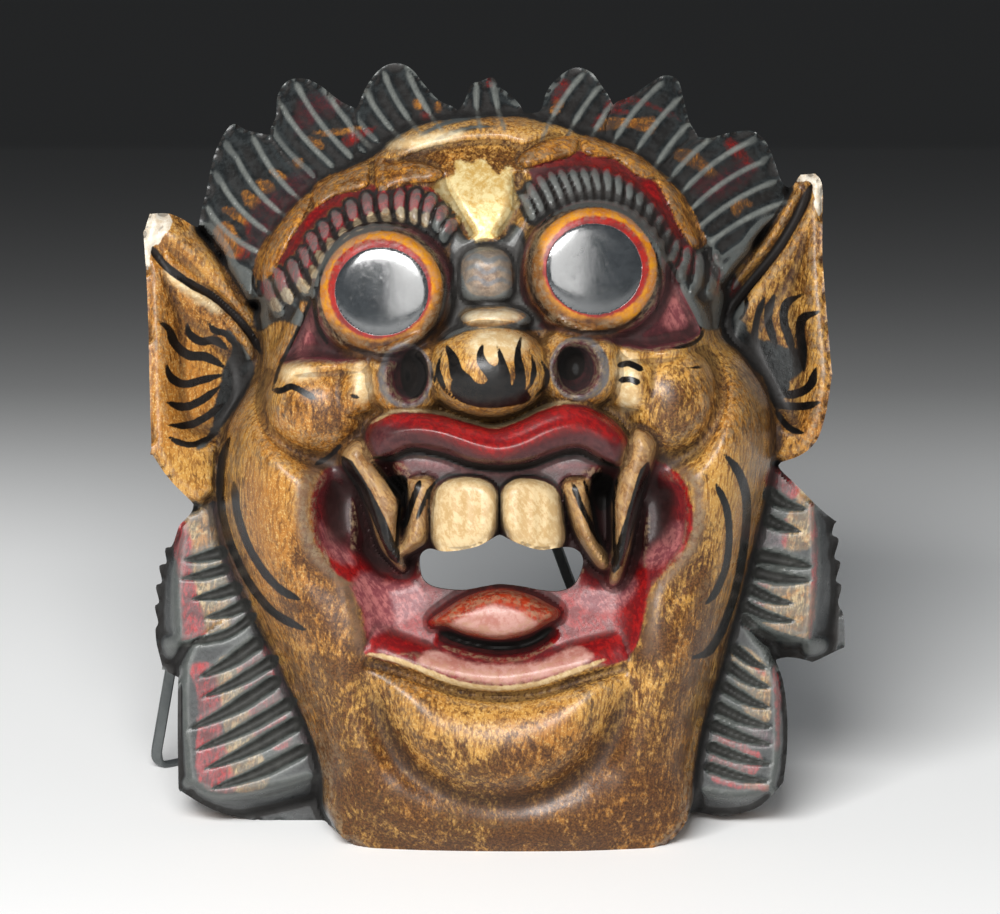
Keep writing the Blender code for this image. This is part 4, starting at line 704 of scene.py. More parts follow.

# the painter's patches and strokes: a colour, for a stroke also its width, the share of it that tapers at
# each end and how blunt its tips are, then the points
# black brushwork: cheek curls, lid lines, lips' edges, a painted shadow under the tongue, nose flames and ear flames
# brown along the lower and inner side of each eye's ring
# dark plum painted as shade: the upper lip's underside, the mouth's pits and its hollow behind the teeth
# dark sides of the tusks, and painted shade in the recesses between tusks and fangs
# painted shade in the recesses between each tusk and fang
# painted shadow in the groove under the tongue
# pale patches painted as highlights: nose top, nose wings, cheek bone, bar under the nose, ear ridge and cap
# pink painted as sheen on the mouth's lower floor and rim and on the lids, with the gum's own pink under the lip
# slate of the eyes' hollows and behind the ear flames, then plum, dark plum painted as shade, red, pink partly
# painted as sheen, cream, gold, and pale painted highlights
BRUSHWORK = '''
# slate of the eyes' hollows and behind the ear flames, then plum, red, pink, cream and gold
slate -15,214 -8,208.5 0,209 5,214 9,208 7,196 9,186 16,179 8,177.5 -8,178 -22,174 -20,186 -18,198
slate -75,181 -84,178 -84,192 -78,195 -68,185 -65,178
slate 62,190 70,178 84,184 80,200 70,208 62,212 52,215 54,200
slate -94,178.5 -90,175 -85.6,168.7 -84.8,162.7 -88.2,155 -92.5,149 -97.6,142.1 -101.9,137.4 -105,137.4 -101,141.5
  -99,146 -98.4,151 -97.4,156 -96.3,161 -95,166 -92.5,171
slate 78,184 84,181 86,177 90,175 95,174 100,172 103.5,172 105.6,168 104,163.5 100.4,161.4 99.6,158 98,155 96.5,151
  93.5,152.5 92,158 90,162 86,166 82,171 76,176
plum -61,194 -66,184 -71,174 -75,166.6 -62,166.8 -50,166.5 -38,170 -27,174.5 -18,182 -15.5,196 -22,208 -40,214
plum 49,212 57,202 63,192 68,181 69,176.7 60,171.5 49,170.3 38,173 28,176 14,178.5 8,186 6.5,196 8.5,207 14,214
  30,221
plum 6,220 11,228 10,233 18,234.5 30,234.5 44,231 58,222 66,207 60,206 50,222 36,231 20,231 12,224
glaze -46,140 -44,145 -38,146 -28,143.5 -18,141 -8,136.5 0,135 8,137.5 17,141.5 26,143.5 35,141.5 42,138 40,130
  20,133 0,129 -20,134 -43,132
glaze -60,126 -57,131 -50,128 -42,116 -36,100 -40,96 -48,100 -56,106 -60,116
glaze 54,128 48,130 44,118 42,104 46,100 54,106 59,114 59,122
glaze -36,126 -30,132 0,128 30,132 38,124 38,104 30,96 -30,96 -38,104
rim 5 0.1 0.5 -56,134 -64,129 -67,119 -65.5,106 -59.5,97.5 -53,90.5 -49.5,80 -47.5,68
rim 3.2 0.1 0.5 52,135 60,132 66.5,125 67.6,114 65.5,104 59.5,96 54,89 51,79 50,68
red -46,70 -45,67 -34,67.5 -22,70 -22,77 -25,82 -34,78 -42,74
red 20,86 27,90 40,90 49,97 50,90 49,80 47,72 43,65.5 36,64 26,67 17,72 21,78
red -58,98 -51,92 -44,95 -46,101 -56,104
red 1.6 52,133.5 58,130.5 63,124 65,115 63.5,106 59,100
red -80,195 -76,204 -69,213 -62,221 -52,225.5 -40,228 -30,228 -22,225 -16,217 -20,218 -28,222 -40,222 -52,218
  -62,210 -70,200 -76,192
red 9,234.5 15,236.5 24,238.5 34,239.5 41,235.5 48,230.5 54,228 58,220 63,211 60,210 54,219 46,227 36,232.5 24,234
  14,233
rust 57,206 62,207 67,205 66,197 61,198
ring_dirt 8 0.25 0.3 -19.6,190 -22,180 -30,172.4 -42,170.2 -52,173.5 -58,180
ring_dirt 7 0.25 0.3 12.2,210 11.4,198 14,188 22,180.5 33,178.4 43,180
pink -50,91 -46,95 -38,92 -28,90 -26,85 -30,80 -37,76 -44,74 -47,82
pink 26,84 28,88 38,91 46,94 45,86 36,81
pink 46,104 56,112 62,112 61,103 52,97
pale -22,68.5 -12,65 0,63.5 14,65 26,70 32,66 22,61.5 8,58 -4,57.5 -16,60.5 -28,65
pink -25,134.5 -20,133.5 -13,131 -12,128.5 -20,129 -24,131
pink 10,131 17,134 23,135 27,132 22,128.5 13,129
pink -8,130.5 0,129.3 8,130.2 4,128 -4,128
pink -62,112 -58,101 -50,98 -52,104 -58,110
pink -70,170 -66,179 -63,186 -64,176 -66,169
pink 56,180 60,192 64,186 64,180
pale -17,77.3 -10,81 -3,84.3 4,82.8 11,79.3 12,77.2 7,74.6 0,73.6 -9,74.8
cream 1.3 0.1 0.4 -44,146 -37,149.8 -29,150.5 -19,149.3 -9,146.6 -2,145 6,147.4 13,150.8 20,153 27,152.8
cream 1.7 0.1 0.4 -45,67.5 -36,65.5 -26,61.8 -14,57.2 0,55.6 12,57 24,61 36,65.5
gold -12,184.5 2,185.5 9,182.5 0,179 -11,179.5
ash -15,211 -8,206.5 0,207.5 4,212 8,206 6.5,196 8,188 14,181 8,178.5 -8,178.5 -20,175.5 -18,186 -16,198
urna -11.5,203 0,205 4.4,199 4,193 -2,189.5 -10,190.5 -13,198
bluegrey 1.7 0.2 0.5 -11.5,201.5 -8,203 -4,201 0,202.6 3.6,201
bluegrey 1.7 0.2 0.5 -12,198 -8.5,199.4 -4.5,197 -0.5,198.8 4,197
bluegrey 1.7 0.2 0.5 -11.5,194.2 -8,195.6 -4,193.4 0,195 3.6,193.6
leaf -22,228 -16,231 -15,235.5 -10,235 -5,236 -3,232.5 0,231 3,234.3 4.5,231 5.5,224 6.5,220.5 3,216 0,210.5
  -3,208.6 -9,208.6 -12,212 -15,218 -19,222
bright -11,171 -9,175.5 -2,178 6,176.5 9,172 3,168 -4,167
bright -50,164 -47,165.5 -44,162 -44,156 -47,153.5 -49,158
bright 40,169 46,169 47,162 46,153 42,151 40,158
bright -74,165 -66,166 -62,162 -68,160.5 -73,161
bright -12,184 2,184.6 6,182.5 0,180 -10,180.5
bright -114,199 -104,193 -96,187 -97,184.5 -106,190 -114,196
bright -38,241 -28,244.5 -14,246 -16,243 -28,240
gold -15,216 -13,216 -9.5,209.5 -12,209.5
chip -122.5,213 -119.5,219 -114,218.5 -113,214 -115.5,211 -117,207.5 -119.5,206.5 -120.5,199 -122,203
chip 102,229.5 104,232.5 109,231.5 110.8,226 110.2,218 108.5,219.5 107.5,225 106.5,229 104,229
# hair tufts
tuft_plum -83,222 -76,226 -70,232 -64,231 -68,222 -76,212 -83,203 -86,210
tuft_plum -70,246 -62,250 -54,256 -62,259 -69,256
tuft_gold -95.5,220 -91,219.5 -87,216 -86.5,213.5 -90,215
tuft_gold -98,214 -93,215 -89,210 -88,205 -92,203 -98,207
tuft_red -88,215.5 -85,214 -84.3,208.5 -87,210
tuft_red -89.5,208.5 -86,207.5 -86,204 -90,203
tuft_gold -88,226.5 -84,224 -81.5,221 -85.5,220.3 -88,223
tuft_gold -84,229.5 -79,229.5 -77,226.5 -81,225.5
tuft_gold -79,233.5 -75,232.5 -73,229.7 -77,230.3
tuft_gold -71,237 -68,236.5 -68,233.5 -71,234.5
tuft_red -73,230 -69.5,229 -70,226.5 -73,227.5
tuft_gold -64,246 -56,247.5 -47,247.8 -52,245.5 -60,244.5
tuft_red -54,244 -48,246.5 -42,248 -46,245 -52,241.5
tuft_gold -66,244 -62,243.5 -60,240.5 -63,240.8
tuft_gold -29.5,257 -27,256.5 -26.5,254 -29,254.5
tuft_gold -22.5,256 -20,256 -20.5,252.5 -22.5,253
tuft_red -27,252.5 -24,252.5 -24.5,250.3 -27,250.5
tuft_red 18,255 21,257 24,262 22.5,264.5 19,261
tuft_gold 17,252.5 20,252.5 22,256.5 19,257
tuft_red 36,254 44,256 52,255 62,250 58,253 50,257 43,259 38,258
tuft_gold 33,246.5 37,251 45,250.5 53,251 52,245.5 45,248 38,247
tuft_red 32,248 36,252 44,252.5 40,254 34,252
tuft_gold 60,240 66,240 73,234 79,227.5 75,227 68,233 61,236
tuft_gold 79,221 83,223.5 86.5,221.5 83,219.5 81,217
tuft_plum 66,228 74,232 82,236 88,232 80,226 70,222
tuft_red 77.5,243.5 81,243 85,239 88.5,233.5 86,233 82,237 78,240
tuft_red -5,261.5 -2,262 -1,264.5 -4,264.8
tuft_red 72,199 75,199 75.3,191 72.8,190.5
tuft_red 79,190 80.5,196.5 82.5,194 82,190.5
# upright zones of the side tufts, under the slate of their cuts
rust -112.5,106 -109,113 -106.5,107 -106,97 -104.5,88 -102,80 -101.5,72 -108.5,70.5 -109.5,80 -110.5,92
cream_side -109,111.5 -104,117 -99.5,118 -97,108 -95.5,98 -93,88 -92.5,77 -101.5,72 -102,80 -104.5,88 -106,97
  -106.5,106
mauve -100,117.5 -95.5,119 -93.5,108 -90.5,98 -86,86 -85,80 -92.5,77 -93,88 -95.5,98 -97,108
rust -106.5,62.5 -98,62.5 -96,50 -94.5,35 -91,20 -101,20.5 -104.5,28 -104,42 -104.5,54
cream_side -98,62 -91,66.5 -87.5,52 -84,38 -79.7,22.5 -91,19.5 -94.5,35 -96,50
rust -91,66 -81.5,70.5 -77.5,60 -74.5,48 -71.5,38 -76,34 -84,38 -87.5,52
mauve -80,69 -76,64 -72,52 -68,42 -66,32 -76,30 -76,40 -78,54
rust 93,131.5 97,130 103,124.5 101,120.5 95,121 91,126
cream_side 102,125 107.5,119.5 108,110 107,103.5 98,103 98.5,114 102,119
mauve 90,114 98,113 98,103.5 88,103.5
cream_side 91,92 107.4,92 106.6,73 96,73.5 88,76 89,84
cream_side 80,69 86,68 92.5,62 93,52 92.5,44 85,45 82,55 80,62
mauve 80,43 93.5,40 94,34 82,36
rust 76,41 84,39 85,34.5 90,32.5 88,26 76,22.5 72,26 73,36
rust 2.2 0.2 0.6 107.2,118 108,108 108.4,97 107.6,86 106.8,73
rust 2 0.2 0.6 98.6,113 98.4,108 98.2,104
rust 2.6 0.2 0.6 88.5,90 92,90.5
rust 2.6 0.2 0.6 86.5,83 90,83.5
rust 2.4 0.2 0.6 85,76.5 88.5,76
rust 2 0.2 0.6 94.2,62 95.4,54 95.8,44 95.4,34
rust 2.4 0.2 0.6 83.5,66.5 91,60
rust 2 0.2 0.6 74,24.5 82,21.5 92,20.8
cream_side 1.8 0.2 0.6 84,21.6 92,21
# dark sides of the tusks
ink 4.2 0.1 -54,135 -47.5,125 -42,115 -38.2,106 -34.5,98
ink 1.2 0.15 -44.5,134 -38,126 -34.5,119 -35,108 -34.5,100
ink 4 0.1 50.5,133 46.8,121 43,108.5 38.6,95
ink 1 0.2 41,132 38.8,120 39,107 38.5,98
ink 2.2 0.12 -27,127 -30,119 -33,110
ink 1.4 0.15 -23.5,125 -28.5,113
ink 1.9 0.12 24.5,126 29,115 35,104
ink 1.3 0.2 28,128 31.5,118 33.5,108
ink -38,127 -34,128.5 -31.5,127 -32,118 -34.5,119
ink 31,128 36,129 39,126 37.5,118 33.5,117
# black brushwork: cheek curls, lid lines, lips' edges, nose flames and ear flames
ink 3 0.12 0.35 -93,141 -95.6,132 -96,120 -93.5,108 -89.5,98 -84,88.5 -77,81 -66.5,75.5
ink 2.9 0.12 0.35 -91,126 -89.8,115 -86,104 -80,94.5 -74.5,89 -68.5,86
ink 3.2 0.12 0.35 76.5,135.5 81,130 84,122 84.4,112 83,100 80.6,88 76.5,76 71.5,68 66,66
ink 2.6 0.12 0.35 73.5,125.5 77,118 78.3,108 77.2,97 74,89 70.5,84.5
ink 2.2 0.12 0.35 -77.5,157.5 -74.5,157.2 -71,158.6 -67,156.8 -63,154.4
ink 0.9 0.12 0.35 63,164.6 69,165.4
ink 1.4 0.12 0.35 -62,196 -65,187 -70,176 -75,166 -77.5,158
ink 1.7 0.12 0.35 -58,172 -62.2,180 -62.8,190 -60,200 -54.5,208.6 -48,212.8 -40,214 -31,212.4
ink 1.2 0.12 0.35 12.5,212 20,218 31,220.6 42,218 49,211.5 53.6,203 54.6,192 53,184
ink 1.3 0.12 0.35 50.5,210 58,200 63,191 68,181 69,176.3 65,173 58,171.5
ink 2.6 0.12 0.35 -43,134.5 -37,134 -30,136.6 -20,135.2 -10,131.8 0,130.6 10,131.8 20,135.4 27,136.4 33,133.6 40,131
ink 1 0.12 0.35 -24,110 -24,122 -20,127.5 -12,128.7 -5,127.8 -0.2,125 5,127.6 11,128.3 18,126.5 21.8,121 22.8,110
ink 0.7 0.12 0.35 -0.2,125 -0.2,107.5
ink 3 0.12 0.35 -20,74.6 -10,71.2 0,69.9 10,71.2 17.5,76
ink 2.2 0.12 0.35 40,165.6 44,166.4 48.5,164.2
ink 2.2 0.12 0.35 40.5,160.6 44,161 47.5,159.6
ink 1.3 0.12 0.35 -51,155.5 -48,154.8
ink 1.6 0.12 0.35 -54,139 -58,135 -63,132
ink 2.8 0.12 0.35 -121,208 -115,200.5 -107,194.5 -99,190 -92,184 -86,177 -82,170
ink 3.4 0.12 0.35 107,228 103,219 97,208.5 90,199 82,189 77,183
ink -12,152.6 -16,155.5 -16.6,160 -14,162.6 -10.6,162.6 -8.2,159.8 -5.4,159.4 -3.4,161.8 -1.6,164 1.6,164 3.4,161
  4.6,158.4 8.4,157.6 10.6,154.2 5,152 -4,151.2
ink -18.6,173 -17.6,167.5 -16.6,161.5 -12.4,158 -10,161.5 -12.6,164.4 -14.6,169
ink -5.6,173.4 -7.8,170 -7.6,166 -5.4,162.6 -3,159.6 0.2,158.6 1.2,163.4 -1.2,165 -3.8,166.6 -5.4,169.6
ink -1.2,172.6 0.6,170 2.2,166.4 3.6,162 3,157.6 -0.6,158 -2.2,163.6 -0.6,167
ink 7.4,176 5.2,171.5 4.8,166.5 5,161 4,156.5 8.4,157 8.6,163 7.2,169
ink 2.2 0.6 0.12 10,171 11.4,165.5 10.8,160 8,155.5
ink 2.4 0.6 0.12 13.6,168 16,163 14.8,158 11,154.5
ink 2.6 0.6 0.12 -19.8,170 -21,164 -18.8,158 -15.5,154
ink 1.4 0.6 0.12 -23,167 -22.5,161 -20,156.5
slate -28,244.5 -20,249.5 -10,251 -2,250.7 -10,249.8 -19,247.5 -26,244.2
slate -23.5,242.2 -19,243 -12,246 -2,247.5 -8,248.2 -16,246.5 -22,243.8
ink 2.2 0.3 0.25 -100.5,181 -98,178 -94.5,177 -90,172
ink 2.8 0.3 0.25 -107.8,181 -106.6,177 -103,174.4 -98,174.6 -93,171
ink 3.2 0.3 0.25 -116.9,181 -113.6,178.4 -111.6,173.4 -107,169.6 -101,169 -94,165
ink 2.8 0.3 0.25 -114.7,166.6 -113,162 -108.6,159.6 -102.5,161 -95,163
ink 2.8 0.3 0.25 -114.7,153.6 -109,151.8 -103.5,153.6 -96,159
ink 2.6 0.3 0.25 -114,145.6 -108,145.4 -102.6,147.4 -95,153
ink 2.2 0.3 0.25 -114.3,141.8 -110,139.6 -104.5,139 -97,143
ink 1.6 0.3 0.25 85,190 84.4,186 82,181
ink 2.4 0.3 0.25 91,189.5 89,184.5 87.8,178 88,173
ink 3 0.3 0.25 94.5,190.5 92.5,185 92.6,180 95.4,172
ink 3 0.3 0.25 104,190.5 98.6,187.4 97.6,182 99.2,176 101.5,169
ink 3.2 0.3 0.25 109.4,184.4 104.2,182.4 103.2,178 104,172 104.5,164
ink 3 0.3 0.25 108.5,165.5 106.6,159.4 102,156.4 95,156
ink 2.8 0.3 0.25 110,153.6 104,152 94,152.5
ink 2.4 0.3 0.25 104.5,142.6 99,145 94.5,151'''


# the stain spots summed: browner above 0, brighter gold below 0; brown stain mixed with painted shade and painted
# highlights
def stain_shade_and_highlight(x, z):
    total = np.full(x.shape, 0.12)
    for cx, cz, rx, rz, amount in STAIN_SHADE_AND_HIGHLIGHT_SPOTS:
        total += amount * np.exp(-((x - cx) / rx) ** 2 - ((z - cz) / rz) ** 2)
    return np.clip(total, -1.2, 1.1)


class Paint:
    """Where each colour lies: millimetres inside the edge of its patches and strokes."""

    def __init__(self, x, z):
        self.x = x.ravel()
        self.z = z.ravel()
        self.cover = {}

    def layer(self, name):
        return self.cover.setdefault(name, np.full(self.x.shape, -6.0))

    def add(self, name, spot, values, join=np.maximum):
        cover = self.layer(name)
        cover[spot] = join(cover[spot], values)

    def patch(self, name, points):
        spot, away, _ = near(self.x, self.z, points, 5, True)
        self.add(name, spot, -away)

    def stroke(self, name, points, width, ends=0.35, tip=0.15, bare=False):
        """A brush stroke that thins out towards both ends, or one that keeps the colour off."""
        spot, away, along = near(self.x, self.z, points, 5, False)
        half = width / 2 * np.clip(tip + np.minimum(along, 1 - along) / ends, 0, 1)
        if bare:
            self.add(name, spot, away - half, np.minimum)
        else:
            self.add(name, spot, half - away)

    def wedge(self, name, points, width):
        """Colour that fills a knife cut from its point to its blunt end."""
        spot, away, along = near(self.x, self.z, points, 5, False)
        self.add(name, spot, width / 2 * cut_share(along) - away)

    def oval(self, name, cx, cz, rx, rz):
        q = np.hypot((self.x - cx) / rx, (self.z - cz) / rz)
        self.add(name, slice(None), np.clip((1 - q) * min(rx, rz), -6, None))


def brow_colours(p):
    """Ribs of the brows: red tips and cream heels on the left, grey with red on the right, and painted shade in the
    gaps between them.
    """
    for side, lines in BROWS.items():
        width = 2 * RIB_WIDTHS[side]
        for i, (tip, heel) in enumerate(np.array(lines)):
            line = rib_line(side, *lines[i])
            p.stroke('slate', line, width + 2.2, 0.05, 0.9)
            if side < 0:
                p.stroke('red', line, width + 1.6, 0.05, 0.9, bare=True)
                end = 0.35 if i > 11 else 0.55
                p.stroke('rust', [tip, tip * (1 - end) + heel * end], width * 0.84, 0.2, 0.7)
                if i not in (13, 14):
                    p.stroke('bone', [tip * 0.42 + heel * 0.58, tip * 0.06 + heel * 0.94], width * 0.74, 0.2, 0.5)
            else:
                p.stroke('ash', line, width * 0.7, 0.3, 0.3)
                if i % 3 == 1 or i > 14:
                    p.stroke('rust', line[:2], width * 0.5, 0.4, 0.3)
        # dark strokes in the grooves between neighbouring ribs: painted shade
        for first, second in zip(lines, lines[1:]):
            middle = (np.array(rib_line(side, *first)) + np.array(rib_line(side, *second))) / 2
            p.stroke('gap', middle, 1.7 if side < 0 else 1.3, 0.15, 0.4)


def eye_colours(p):
    for side, eye in EYES.items():
        (cx, cz), (rx, rz) = eye['c'], eye['ring']
        p.oval('plum', cx, cz, rx + 2.2, rz + 2.2)
        p.oval('orange', cx, cz, rx, rz)
        p.oval('ring_red', cx + 0.7 * side, cz + 0.9, rx * 0.83, rz * 0.81)
        p.oval('pupil', cx, cz, *eye['r'])
        turn = np.linspace(0, 2 * np.pi, 25)
        loop = [(cx + (rx + 0.5) * math.cos(a), cz + (rz + 0.5) * math.sin(a)) for a in turn]
        p.stroke('ring_line', loop, 1.5, 0.01, 1.0)


def paint_mask(x, z):
    """Every coloured area of the front, as one grid of cover for each colour."""
    p = Paint(x, z)
    # slate ground of the hair and the side tufts, kept off the ears
    tufts, sides = within(p.x, p.z, *TUFT_LOOPS), within(p.x, p.z, *SIDE_LOOPS)
    ears, face = within(p.x, p.z, EAR_LEFT, EAR_RIGHT), within(p.x, p.z, FACE)
    p.add('slate', slice(None), np.minimum(2.2 - np.minimum(tufts, sides), face + 0.6))
    cover = p.layer('slate')
    cover[:] = np.where((ears < 0) & (sides > -2), np.minimum(cover, ears + 1.0), cover)
    for name, *brush, points in rows(BRUSHWORK):
        if brush:
            p.stroke(name, points, *brush)
        else:
            p.patch(name, points)
    for name, *loops in (('red', LIP), ('crimson', MOUTH), ('tongue_red', TONGUE), ('cream', TOOTH_L, TOOTH_R),
                         ('tusk', TUSK_L, TUSK_R, FANG_L, FANG_R), ('gold', *(leaf for _, leaf in LEAVES))):
        for points in loops:
            p.patch(name, points)
    # nostrils: blue-grey rims, dark insides, and black ovals in the upper inner part of each hole, painted as shadow
    for name, *oval in (('bluegrey', -32, 162.2, 9.4, 11.2), ('bluegrey', 27.0, 164.6, 10.2, 11.0),
                        ('nostril', -31.4, 162.2, 7.8, 9.9), ('nostril', 26.0, 164.6, 8.4, 9.6),
                        ('ink', -29.2, 163.0, 4.8, 8.4), ('ink', 24.2, 166.4, 4.8, 5.8)):
        p.oval(name, *oval)
    eye_colours(p)
    # pale grey lines along the ribs between the scoops of the hair tufts, painted as highlights
    for ribs, points in TUFTS:
        for k in range(1, int(ribs)):
            line = [fan(points[:4], k / ribs - RIB_BOW * t * (1 - t) * 4, t) for t in (-0.1, 0.2, 0.5, 0.8, 1.0)]
            p.stroke('rib_highlight', line, 1.15, 0.15, 0.5)
    p.add('rib_highlight', slice(None), -tufts, np.minimum)
    for width, path in SIDE_CUTS:
        p.wedge('cut_slate', path, width * 1.25)
    brow_colours(p)
    return {name: value.reshape(x.shape) for name, value in p.cover.items()}


def tone(red, green, blue):
    """A shade given as the eye reads it, 0 to 255, turned into the shader's linear values."""
    values = [v / 255 for v in (red, green, blue)]
    return tuple(v / 12.92 if v < 0.04045 else ((v + 0.055) / 1.055) ** 2.4 for v in values)


class Finish:
    """A node material, put together step by step."""

    def __init__(self, name, roughness):
        self.material = bpy.data.materials.new(name)
        self.material.use_nodes = True
        self.tree = self.material.node_tree
        self.shader = self.tree.nodes['Principled BSDF']
        self.shader.inputs['Roughness'].default_value = roughness
        self.place = self.node('TexCoord', {}, 'Object')

    def put(self, socket, value):
        if isinstance(value, bpy.types.NodeSocket):
            self.tree.links.new(value, socket)
        elif isinstance(value, tuple) and len(value) == 3 and socket.type == 'RGBA':
            socket.default_value = (*value, 1.0)
        else:
            socket.default_value = value

    def node(self, kind, sockets, out=0, **settings):
        """One node with its settings and what goes into it; gives back one of its outputs."""
        made = self.tree.nodes.new('ShaderNode' + kind)
        for key, value in settings.items():
            setattr(made, key, value)
        for socket, value in sockets.items():
            self.put(made.inputs[socket], value)
        return made.outputs[out]

    def dress(self, **sockets):
        """What goes into the surface's own sockets."""
        for name, value in sockets.items():
            self.put(self.shader.inputs[name.replace('_', ' ')], value)
        return self.material

    def math(self, operation, a, b, clamp=False):
        return self.node('Math', {0: a, 1: b}, operation=operation, use_clamp=clamp)

    def plus(self, a, b, clamp=False):
        return self.math('ADD', a, b, clamp)

    def times(self, a, b):
        return self.math('MULTIPLY', a, b)

    def less(self, a, b):
        return self.math('SUBTRACT', a, b)

    def mix(self, share, a, b, blend='MIX'):
        return self.node('Mix', {'Factor': share, 6: a, 7: b}, 2, data_type='RGBA', blend_type=blend)

    def stretched(self, across, along, turn=0.0):
        """Place for a streaky noise, with its features per metre across and along the streaks."""
        return self.node('Mapping', {'Vector': self.place, 'Rotation': (0.0, turn, 0.0),
                                     'Scale': (1 / across, 1 / across, 1 / along)}, vector_type='TEXTURE')

    def noise(self, scale, detail, roughness, where=None, warp=0.0):
        return self.node('TexNoise', {'Vector': where or self.place, 'Scale': scale, 'Detail': detail,
                                      'Roughness': roughness, 'Distortion': warp}, 'Fac')

    def step(self, value, low, high, out_low=0.0, out_high=1.0):
        return self.node('MapRange', {'Value': value, 'From Min': low, 'From Max': high, 'To Min': out_low,
                                      'To Max': out_high}, interpolation_type='SMOOTHSTEP')

    def data(self, name):
        return self.node('Attribute', {}, 'Fac', attribute_name=name)

    def bump(self, height, strength, distance, below=None):
        sockets = {'Strength': strength, 'Distance': distance, 'Height': height}
        if below:
            sockets['Normal'] = below
        return self.node('Bump', sockets)


# each colour of the mask: two shades that it mottles between, how soft its edge is, how far it wanders
LAYERS = [
    ('slate', (32, 35, 36), (52, 56, 57), 0.6, 1.0),
    ('plum', (112, 58, 62), (84, 46, 50), 0.8, 1.0),
    ('rim', (128, 96, 72), (88, 64, 50), 2.4, 2.4),
    ('crimson', (132, 40, 42), (100, 34, 38), 0.8, 1.0),
    ('cream_side', (204, 178, 132), (172, 124, 70), 0.7, 1.2),
    ('mauve', (122, 100, 104), (98, 84, 90), 0.7, 1.0),
    ('rust', (176, 34, 40), (156, 70, 74), 0.7, 1.3),
    ('cut_slate', (62, 67, 65), (84, 88, 85), 0.3, 0.5),
    ('tuft_gold', (196, 132, 58), (140, 88, 42), 0.6, 1.4),
    ('tuft_red', (150, 34, 30), (110, 40, 38), 0.9, 1.6),
    ('tuft_plum', (84, 44, 48), (48, 42, 45), 2.0, 2.2),
    # painted highlight along the hair tufts' ribs
    ('rib_highlight', (132, 134, 128), (96, 100, 97), 0.7, 0.6),
    ('bone', (206, 186, 150), (150, 122, 90), 0.5, 0.8),
    ('ash', (112, 113, 111), (84, 84, 83), 0.7, 1.0),
    ('urna', (166, 138, 110), (112, 86, 66), 0.5, 0.6),
    # painted shade in the grooves between brow ribs
    ('gap', (34, 33, 32), (46, 43, 41), 0.6, 0.25),
    ('orange', (222, 150, 34), (190, 108, 22), 0.3, 0.5),
    # brown along the rings' lower side
    ('ring_dirt', (132, 86, 40), (78, 46, 26), 2.0, 1.6),
    ('ring_line', (44, 32, 26), (66, 46, 36), 0.4, 0.5),
    ('ring_red', (172, 44, 38), (128, 44, 44), 0.5, 0.8),
    ('red', (160, 28, 28), (118, 22, 26), 0.5, 1.0),
    # pink: the gum's own colour, and painted sheen in the mouth and on the lids
    ('pink', (184, 112, 110), (134, 70, 76), 1.6, 1.6),
    # dark plum painted as shade under the lip and in the mouth
    ('glaze', (66, 32, 34), (84, 40, 42), 2.2, 1.0),
    ('tongue_red', (170, 54, 26), (128, 34, 22), 0.4, 0.6),
    ('pale', (206, 156, 144), (182, 118, 106), 1.0, 1.2),
    ('bluegrey', (120, 116, 116), (92, 88, 90), 0.5, 0.8),
    ('nostril', (96, 48, 52), (58, 38, 42), 0.8, 0.8),
    ('cream', (228, 202, 156), (204, 170, 118), 0.4, 0.7),
    ('tusk', (190, 150, 98), (136, 94, 56), 0.5, 1.0),
    ('gold', (208, 144, 60), (168, 104, 40), 0.4, 1.0),
    # painted highlights on the crests of nose, wings, cheek, ear and cap
    ('bright', (246, 226, 184), (226, 190, 134), 2.0, 1.8),
    ('leaf', (246, 226, 168), (212, 172, 96), 0.6, 1.8),
    ('pupil', (58, 62, 65), (46, 50, 53), 0.25, 0.3),
    ('ink', (14, 13, 13), (24, 21, 20), 0.25, 0.35),
    ('chip', (236, 228, 212), (214, 198, 176), 0.25, 1.2),
]
BROKEN = ('cream_side', 'mauve', 'rust', 'tuft_gold', 'tuft_red')
STREAKED = ('pink', 'red', 'crimson', 'tongue_red', 'cream', 'tusk')
# share of the light that the old varnish lets back
VARNISH = 0.62


